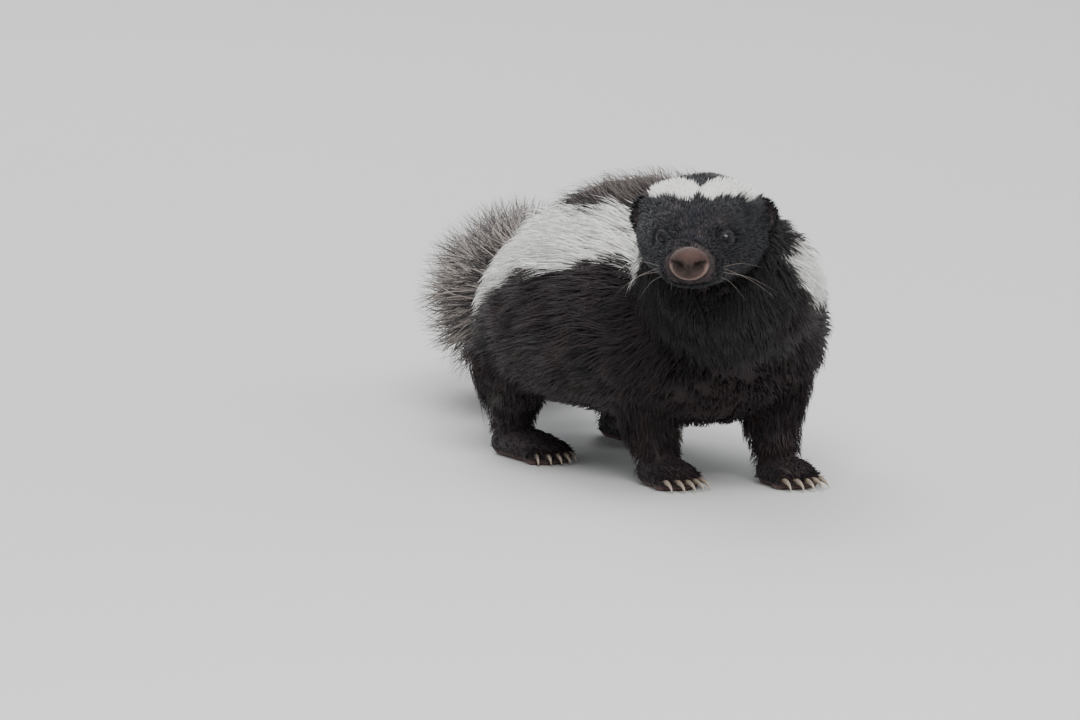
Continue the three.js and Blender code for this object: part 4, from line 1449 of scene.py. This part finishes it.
def free_strands(settings, roots, aims, lengths, width, spots, rng):
    """Short strands from given roots in given directions; spots are the roots' places on the unwrap."""
    count = len(roots)
    steps = np.array([*SHORT_STRAND["rings"], 1.0])[None, :, None]
    bow = steps * (1 - steps) * rng.normal(0, 0.12, (count, 3))[:, None, :]
    path = roots[:, None, :] + (steps * aims[:, None, :] + bow) * lengths[:, None, None]
    across = unit(np.cross(aims, unit(rng.normal(size=(count, 3)))))
    raised = np.cross(aims, across)
    widths = np.full(count, width * mm(settings.strand))
    return strand_batch(SHORT_STRAND, path, across[:, None], raised[:, None], widths, spots, roots)


def ear_fur(settings, side, count, rng):
    """Short fur on the back and rim of an ear, and finer hair inside its cup."""
    share = np.sqrt(rng.uniform(0.02, 1.0, count))
    angle = rng.uniform(0, 2 * math.pi, count)
    inner = (rng.uniform(0, 1, count) < 0.3)[:, None]
    roots = np.where(inner, ear_rim(side, share, angle, inner=True), ear_rim(side, share, angle, -0.3))
    lean = unit(ear_rim(side, share + 0.05, angle) - ear_rim(side, share - 0.05, angle))
    outward = unit(roots - EAR_MIDDLE * (side, 1, 1))
    aim = lean + 0.45 * np.where(inner, ear_axes(side)[1], outward)
    aim = unit(unit(aim) + rng.normal(0, 0.2, (count, 3)))
    length = mm(settings.face_hair) * rng.uniform(0.3, 0.6, count)
    spots = np.stack([angle / (2 * math.pi), share], 1)
    return free_strands(settings, head_out(roots), head_out(aim) - HEAD_PLACE, length, 0.42, spots, rng)


def face_batches(settings, part, rng):
    fur = grown(
        HEAD, rng, settings, settings.face_hair, FACE_COUNT, (0.01, 0.99), part["angles"],
        fit=face_fit, puff=face_puff, **FACE_HAIR,
    )
    ear = ear_fur(settings, part["side"], int(EAR_COUNT * settings.density), rng)
    return [kept(fur, face_keep(fur["roots"])), {**ear, "marked": 0.0}]


class SKUNK_OT_face_fur(bpy.types.Operator):
    """The short fur of the head and ears"""

    bl_idname = "skunk.face_fur"
    bl_label = "Face fur"

    def execute(self, context):
        settings = context.scene.skunk_coat
        material = coat_material("face_fur", settings, dark=settings.face, dark_tip=settings.face_tip)
        build_coats(settings, FACE_FURS, material, "face_fur", face_batches)
        return {"FINISHED"}


LEG_FURS = [{"name": "leg_fur", "leg": 2600, "foot": 1900, "seed": 41, "leg_seed": 50}]
LEG_HAIR = {
    "width": 0.7, "tip": (0.3, 1.1), "root": -0.3, "per_tuft": 5, "spread": 1.6, "close": 0.35, "twist": 0.25,
    "kind": SHORT_STRAND,
}
ON_TOES = 0.4
# How far below its side the hair of a foot reaches, as an angle.
FOOT_TURN = 0.4


def leg_fit(share, angle, roots):
    return mix(0.45, 1.5, smooth(roots[:, 2], 8, 45))


def foot_fur(settings, leg, count, rng):
    """Short hair over the top of a foot and its toes, lying forwards."""
    middles = np.array([middle for middle, _ in toes(leg)])
    on_toe = (rng.uniform(0, 1, count) < ON_TOES)[:, None]
    pick = rng.integers(0, len(middles), count)
    lat, lon = np.arcsin(rng.uniform(0.1, 1.0, count)), rng.uniform(0, 2 * math.pi, count)
    toe_out = np.stack([np.cos(lat) * np.cos(lon), np.cos(lat) * np.sin(lon), np.sin(lat)], 1)
    pad = foot_form(leg)
    share, angle = rng.uniform(0.01, 0.97, count), rng.uniform(-FOOT_TURN, math.pi + FOOT_TURN, count)
    top = pad.point(share, angle, 1.0)
    roots = np.where(on_toe, middles[pick] + toe_out * np.array(TOE_RADII), top)
    outward = np.where(on_toe, toe_out, unit(pad.point(share, angle, 1.1) - top))
    aim = unit(0.35 * outward + (0, -1, -0.12) + rng.normal(0, 0.16, (count, 3)))
    # On the unwrap the foot takes one half and its toes, side by side, the other.
    pad_spot = np.stack([0.5 * (angle + FOOT_TURN) / (math.pi + 2 * FOOT_TURN), share], 1)
    toe_spot = np.stack([0.5 + 0.5 * (pick + lon / (2 * math.pi)) / len(middles), lat / QUARTER], 1)
    spots = np.where(on_toe, toe_spot, pad_spot)
    return free_strands(settings, roots, aim, rng.uniform(3.0, 5.2, count), 0.5, spots, rng)


def leg_batches(settings, part, rng):
    batches = []
    for index, (leg, form) in enumerate(zip(LEGS, LEG_FORMS)):
        batches.append(grown(
            form, rng, settings, settings.leg_hair, part["leg"], (0.1, 0.98), (0, 2 * math.pi),
            seed=part["leg_seed"] + index, fit=leg_fit, hidden=[(TORSO, -0.9)], **LEG_HAIR,
        ))
        batches.append(foot_fur(settings, leg, int(part["foot"] * settings.density), rng))
    return batches


class SKUNK_OT_leg_fur(bpy.types.Operator):
    """The fur of the four legs, shorter towards the feet"""

    bl_idname = "skunk.leg_fur"
    bl_label = "Leg fur"

    def execute(self, context):
        settings = context.scene.skunk_coat
        build_coats(settings, LEG_FURS, coat_material("leg_fur", settings), "leg_fur", leg_batches)
        return {"FINISHED"}


# How near to straight ahead the iris runs into the pupil, and the ball into its raised front.
PUPIL_EDGE = (0.75, 1.0)
FRONT_EDGE = (0.8, 0.97)
FRONT_RISE = 0.035
IRIS_FIBRE = (0.004, 0.003, 0.003, 1)
PUPIL_COLOUR = (0.0015, 0.0015, 0.002, 1)


def eye_material(settings):
    made, tree, shader = new_material("eye", 0.35, 0.1)
    shader.inputs["Coat Weight"].default_value = 0.3
    shader.inputs["Coat Roughness"].default_value = 0.02
    fibres = noise(tree, 2500.0, 4.0, 0.6)
    iris = mixed(tree, fibres, rgb(settings.eye_colour), IRIS_FIBRE)
    pupil = mixed(tree, ramp(tree, named_value(tree, "pupil"), 0.42, 0.5), iris, PUPIL_COLOUR)
    tree.links.new(pupil, shader.inputs["Base Color"])
    return made


class SKUNK_OT_eyes(bpy.types.Operator):
    """Both eyes, each a round ball with a raised front"""

    bl_idname = "skunk.eyes"
    bl_label = "Eyes"

    def execute(self, context):
        material = eye_material(context.scene.skunk_face)
        for label, side in (("right", -1), ("left", 1)):
            axes = eye_axes(side)
            vertices, faces = egg((0, 0, 0), np.full(3, EYE["radius"]), axes, 48, 31)
            ahead = unit(vertices) @ axes[2]
            vertices = vertices * (1 + FRONT_RISE * smooth(ahead, *FRONT_EDGE))[:, None] + eye_place(side)
            values = {"pupil": smooth(ahead, *PUPIL_EDGE)}
            made = new_mesh("eyeball_" + label, head_out(vertices), faces, values)
            finish_piece(made, material, "eye", "eye_" + label)
        return {"FINISHED"}


# Lines on the pad, counted from its centre, with the reach and depth of each hollow.
NOSTRILS = [
    ([(4.6, -5.6, -0.6), (6.0, -4.4, -0.2)], 1.9, 3.0),
    ([(3.0, -6.2, -2.6), (5.6, -5.0, -1.2), (8.8, -3.0, 0.9)], 1.05, 1.7),
]
CLEFT = ([(0.0, -6.4, -0.5), (0.0, -6.0, -3.6), (0.0, -4.4, -7.4)], 0.55, 0.7)
# The dark that spreads round the nostrils, with its reach, partly the pad's own colour and partly painted
# shade.
DARK_HOLLOW = ([(0.0, -6.0, -4.4), (0.0, -6.1, -1.8), (3.6, -5.6, -1.8), (7.0, -4.2, 0.2)], 3.3)
HOLLOWS_IN = (0.4, 1.0, 0.4)
# How far sunk a hollow is where painted shade darkens it, then where the pale rim begins: share of the
# outline, height.
PAINTED_SHADE_DEPTH = (0.3, 1.5)
RIM_EDGE = (0.78, 0.93)
RIM_HEIGHTS = (2.5, -2.5)


def nose_material(settings):
    made, tree, shader = new_material("nose_skin", 0.5, 0.3)
    patches = noise(tree, 220.0, 5.0, 0.65)
    mottle = ramp(tree, patches, 0.35, 0.75, 0.0, 0.5)
    colour = mixed(tree, mottle, rgb(settings.nose_colour), rgb(settings.nose_dark_and_hollow_shade))
    rim = ramp(tree, named_value(tree, "rim"), 0.1, 0.9, 0.0, 0.85)
    colour = mixed(tree, rim, colour, rgb(settings.nose_light))
    # Painted shade in the nostrils and cleft, with the pad's dark round them.
    colour = mixed(tree, named_value(tree, "deep"), colour, rgb(settings.nose_dark_and_hollow_shade))
    tree.links.new(colour, shader.inputs["Base Color"])
    fine = use_group(tree, group_of("Fine skin", fine_bump_group), Scale=1300.0)
    add_bump(tree, shader, fine.outputs["Height"], 0.7, 0.0004)
    return made


class SKUNK_OT_nose(bpy.types.Operator):
    """The nose pad with its nostrils and cleft"""

    bl_idname = "skunk.nose"
    bl_label = "Nose pad"

    def execute(self, context):
        settings = context.scene.skunk_face
        before, faces = egg((0, 0, 0), (NOSE["wide"], NOSE["deep"], NOSE["high"]), wide=120, high=80)
        inward = -unit(before * HOLLOWS_IN)
        vertices = before
        dark = np.zeros(len(before))
        for side in (-1, 1):
            for line, reach, depth in NOSTRILS:
                vertices = groove(vertices, np.array(line) * (side, 1, 1), reach, depth, inward)
            line, reach = DARK_HOLLOW
            dark = np.maximum(dark, near_line(before, np.array(line) * (side, 1, 1), reach))
        vertices = groove(vertices, *CLEFT, inward)
        sunk = np.linalg.norm(vertices - before, axis=1)
        edge = np.hypot(before[:, 0] / NOSE["wide"], before[:, 2] / NOSE["high"])
        rim = smooth(edge, *RIM_EDGE) * smooth(before[:, 2], *RIM_HEIGHTS)
        # deep: painted shade in the sunk nostrils and cleft, and the dark round the nostrils, kept off the
        # pale rim.
        deep = np.clip(smooth(sunk, *PAINTED_SHADE_DEPTH) + 0.9 * dark, 0, 1) * (1 - 0.85 * rim)
        vertices = vertices + (0, NOSE["y"], NOSE["z"])
        made = new_mesh("nose_pad", head_out(vertices), faces, {"deep": deep, "rim": rim})
        finish_piece(made, nose_material(settings), "nose_skin", "nose")
        return {"FINISHED"}


def claw_material(settings):
    made, tree, shader = new_material("claw", 0.35, 0.5)
    grain = noise(tree, 600.0, 4.0, 0.6, (1.0, 0.15, 1.0))
    along = mixed(tree, named_value(tree, "grow"), rgb(settings.claw_colour), rgb(settings.claw_tip))
    colour = mixed(tree, ramp(tree, grain, 0.3, 0.7, 0.0, 0.45), along, rgb(settings.claw_colour))
    tree.links.new(colour, shader.inputs["Base Color"])
    add_bump(tree, shader, grain, 0.3, 0.0003)
    return made


CLAW_SIDES = 10
CLAW_STEPS = 16
# Along a claw: how far ahead of the toe's middle, how much more for each millimetre of its length, its
# height and its radius.
CLAW_LINE = [
    (2.5, 0, 4.3, CLAW_ROOT),
    (4, 0.35, 5.0, 0.9 * CLAW_ROOT),
    (4, 0.75, 3.6, 0.55 * CLAW_ROOT),
    (4, 1, 1.2, CLAW_TIP),
]
CLAW_SPLAY = 0.5


def claw_shell(middle, across, long):
    """One claw of a toe, which curves forwards and down and splays a little from the foot's middle."""
    rows = []
    for i, (ahead, more, height, radius) in enumerate(CLAW_LINE):
        rows.append((middle[0] + across * CLAW_SPLAY * i, middle[1] - ahead - more * long, height, radius))
    line = np.array(rows)
    return tube(line[:, :3], line[:, 3], CLAW_SIDES, CLAW_STEPS, CLAW_TALL)


class SKUNK_OT_claws(bpy.types.Operator):
    """Five curved claws on each foot, long on the forefeet"""

    bl_idname = "skunk.claws"
    bl_label = "Claws"

    def execute(self, context):
        shells = []
        for leg in LEGS:
            shells.extend(claw_shell(middle, across, leg["paw"]["claw"]) for middle, across in toes(leg))
        grow = np.append(np.repeat(np.linspace(0, 1, CLAW_STEPS + 1), CLAW_SIDES), (0, 1))
        made = new_mesh("claws", *joined(shells), {"grow": np.tile(grow, len(shells))})
        finish_piece(made, claw_material(context.scene.skunk_face), "claw")
        return {"FINISHED"}


# Roots of the whiskers, then how far out, back and down each reaches.
WHISKERS = [
    ((13.0, -41, -12), (22, 14, -1)),
    ((14.5, -38, -14), (25, 16, -12)),
    ((15.5, -35, -12.5), (27, 20, -20)),
    ((13.5, -41, -15.5), (13, 13, -16)),
]
CHIN_HAIR = ((-9.5, -41, -18.6), (-0.5, 2, -6.5))
WHISKER_ARCH = (0, -1.5, 2.5)
WHISKER_TAPER = (1, 0.8, 0.2)
WHISKER_LIGHT = (0.22, 0.18, 0.16, 1)
WHISKER_DARK = (0.09, 0.07, 0.06, 1)


class SKUNK_OT_whiskers(bpy.types.Operator):
    """Thin pale whiskers on the muzzle and one hair on the chin"""

    bl_idname = "skunk.whiskers"
    bl_label = "Whiskers"

    def execute(self, context):
        rng = np.random.default_rng(5)
        radii = np.array(WHISKER_TAPER) * mm(context.scene.skunk_face.whisker) / 2
        hairs = [np.array(hair) * (side, 1, 1) for side in (-1, 1) for hair in WHISKERS]
        shells = []
        for start, reach in [*hairs, np.array(CHIN_HAIR)]:
            reach = reach * rng.uniform(0.85, 1.1, 3)
            line = head_out([start, start + reach * 0.5 + WHISKER_ARCH, start + reach])
            shells.append(tube(line, radii, 5, 14))
        made = new_mesh("whiskers", *joined(shells))
        material, tree, shader = new_material("whisker", 0.4, 0.5)
        tone = mixed(tree, noise(tree, 300.0), WHISKER_LIGHT, WHISKER_DARK)
        tree.links.new(tone, shader.inputs["Base Color"])
        finish_piece(made, material, "face_fur")
        return {"FINISHED"}


# The camera aims at a place in millimetres along its own axes. The rest is in metres and watts.
AIM = {"side": -55.0, "up": 53.6, "ahead": 100.0}
FAR_CLIP = 100.0
LIGHTS = [
    {"name": "key", "from": (-1.0, -2.1, 2.4), "size": 1.7, "power": 124.0},
    {"name": "fill", "from": (1.9, -1.7, 1.2), "size": 2.6, "power": 18.0},
    {"name": "back", "from": (0.5, 2.2, 2.6), "size": 2.4, "power": 84.0},
]
LIT_PLACE = (0, 0, 0.06)
FLOOR_REACH = 40.0
FLOOR_VARIES = 0.97
SKY_STRENGTH = 0.85
SKY_COLOUR = (0.93, 0.96, 1.0, 1.0)


def look_at(thing, target):
    thing.rotation_mode = "QUATERNION"
    thing.rotation_quaternion = (Vector(target) - thing.location).to_track_quat("-Z", "Y")


def add_camera(scene, settings):
    a, e = settings.azimuth, settings.elevation
    ahead = np.array((math.sin(a) * math.cos(e), -math.cos(a) * math.cos(e), math.sin(e)))
    side = np.array((math.cos(a), math.sin(a), 0.0))
    target = place(side * AIM["side"] + np.cross(ahead, side) * AIM["up"] + ahead * AIM["ahead"])
    camera = bpy.data.objects.new("camera", bpy.data.cameras.new("camera"))
    scene.collection.objects.link(camera)
    camera.data.lens = settings.lens
    camera.data.clip_end = FAR_CLIP
    camera.location = target + ahead * settings.distance
    look_at(camera, target)
    scene.camera = camera


def add_lights(scene):
    for given in LIGHTS:
        light = bpy.data.lights.new(given["name"], "AREA")
        light.size = given["size"]
        light.energy = given["power"]
        lamp = bpy.data.objects.new(given["name"], light)
        scene.collection.objects.link(lamp)
        lamp.location = given["from"]
        look_at(lamp, LIT_PLACE)
    world = bpy.data.worlds.new("studio")
    scene.world = world
    world.use_nodes = True
    background = world.node_tree.nodes["Background"]
    background.inputs["Color"].default_value = SKY_COLOUR
    background.inputs["Strength"].default_value = SKY_STRENGTH


def add_floor(scene, settings):
    corners = [(x * FLOOR_REACH, y * FLOOR_REACH, 0) for x, y in ((-1, -1), (1, -1), (1, 1), (-1, 1))]
    mesh = bpy.data.meshes.new("floor")
    mesh.from_pydata(corners, [], [(0, 1, 2, 3)])
    floor = bpy.data.objects.new("floor", mesh)
    scene.collection.objects.link(floor)
    material, tree, shader = new_material("floor", 0.8, 0.2)
    low = tuple(FLOOR_VARIES * channel for channel in settings.floor)
    tone = mixed(tree, noise(tree, 3.0), rgb(low), rgb(settings.floor))
    tree.links.new(tone, shader.inputs["Base Color"])
    mesh.materials.append(material)


class SKUNK_OT_stage(bpy.types.Operator):
    """A pale floor, soft light and the camera at the photograph's angle"""

    bl_idname = "skunk.stage"
    bl_label = "Stage"

    def execute(self, context):
        settings = context.scene.skunk_stage
        add_camera(context.scene, settings)
        add_lights(context.scene)
        add_floor(context.scene, settings)
        return {"FINISHED"}


OPERATORS = (
    SKUNK_OT_skin,
    SKUNK_OT_body_coat,
    SKUNK_OT_neck_coat,
    SKUNK_OT_tail_coat,
    SKUNK_OT_face_fur,
    SKUNK_OT_leg_fur,
    SKUNK_OT_eyes,
    SKUNK_OT_nose,
    SKUNK_OT_claws,
    SKUNK_OT_whiskers,
    SKUNK_OT_stage,
)


class SKUNK_PT_panel(bpy.types.Panel):
    """Lists the pieces in the order in which they are built"""

    bl_idname = "SKUNK_PT_panel"
    bl_label = "Striped skunk"
    bl_space_type = "VIEW_3D"
    bl_region_type = "UI"
    bl_category = "Skunk"

    def draw(self, context):
        for operator in OPERATORS:
            self.layout.operator(operator.bl_idname)
        for name in ("skunk_coat", "skunk_face", "skunk_stage"):
            box = self.layout.box()
            settings = getattr(context.scene, name)
            for key in settings.__annotations__:
                box.prop(settings, key)


SETTINGS = {
    "skunk_coat": SkunkCoatSettings,
    "skunk_face": SkunkFaceSettings,
    "skunk_stage": SkunkStageSettings,
}


def register():
    for kind in (*SETTINGS.values(), *OPERATORS, SKUNK_PT_panel):
        bpy.utils.register_class(kind)
    for name, kind in SETTINGS.items():
        setattr(bpy.types.Scene, name, PointerProperty(type=kind))


def unregister():
    for name in SETTINGS:
        delattr(bpy.types.Scene, name)
    for kind in reversed((*SETTINGS.values(), *OPERATORS, SKUNK_PT_panel)):
        bpy.utils.unregister_class(kind)


def main():
    register()
    for operator in OPERATORS:
        group, name = operator.bl_idname.split(".")
        getattr(getattr(bpy.ops, group), name)()


if __name__ == "__main__":
    main()
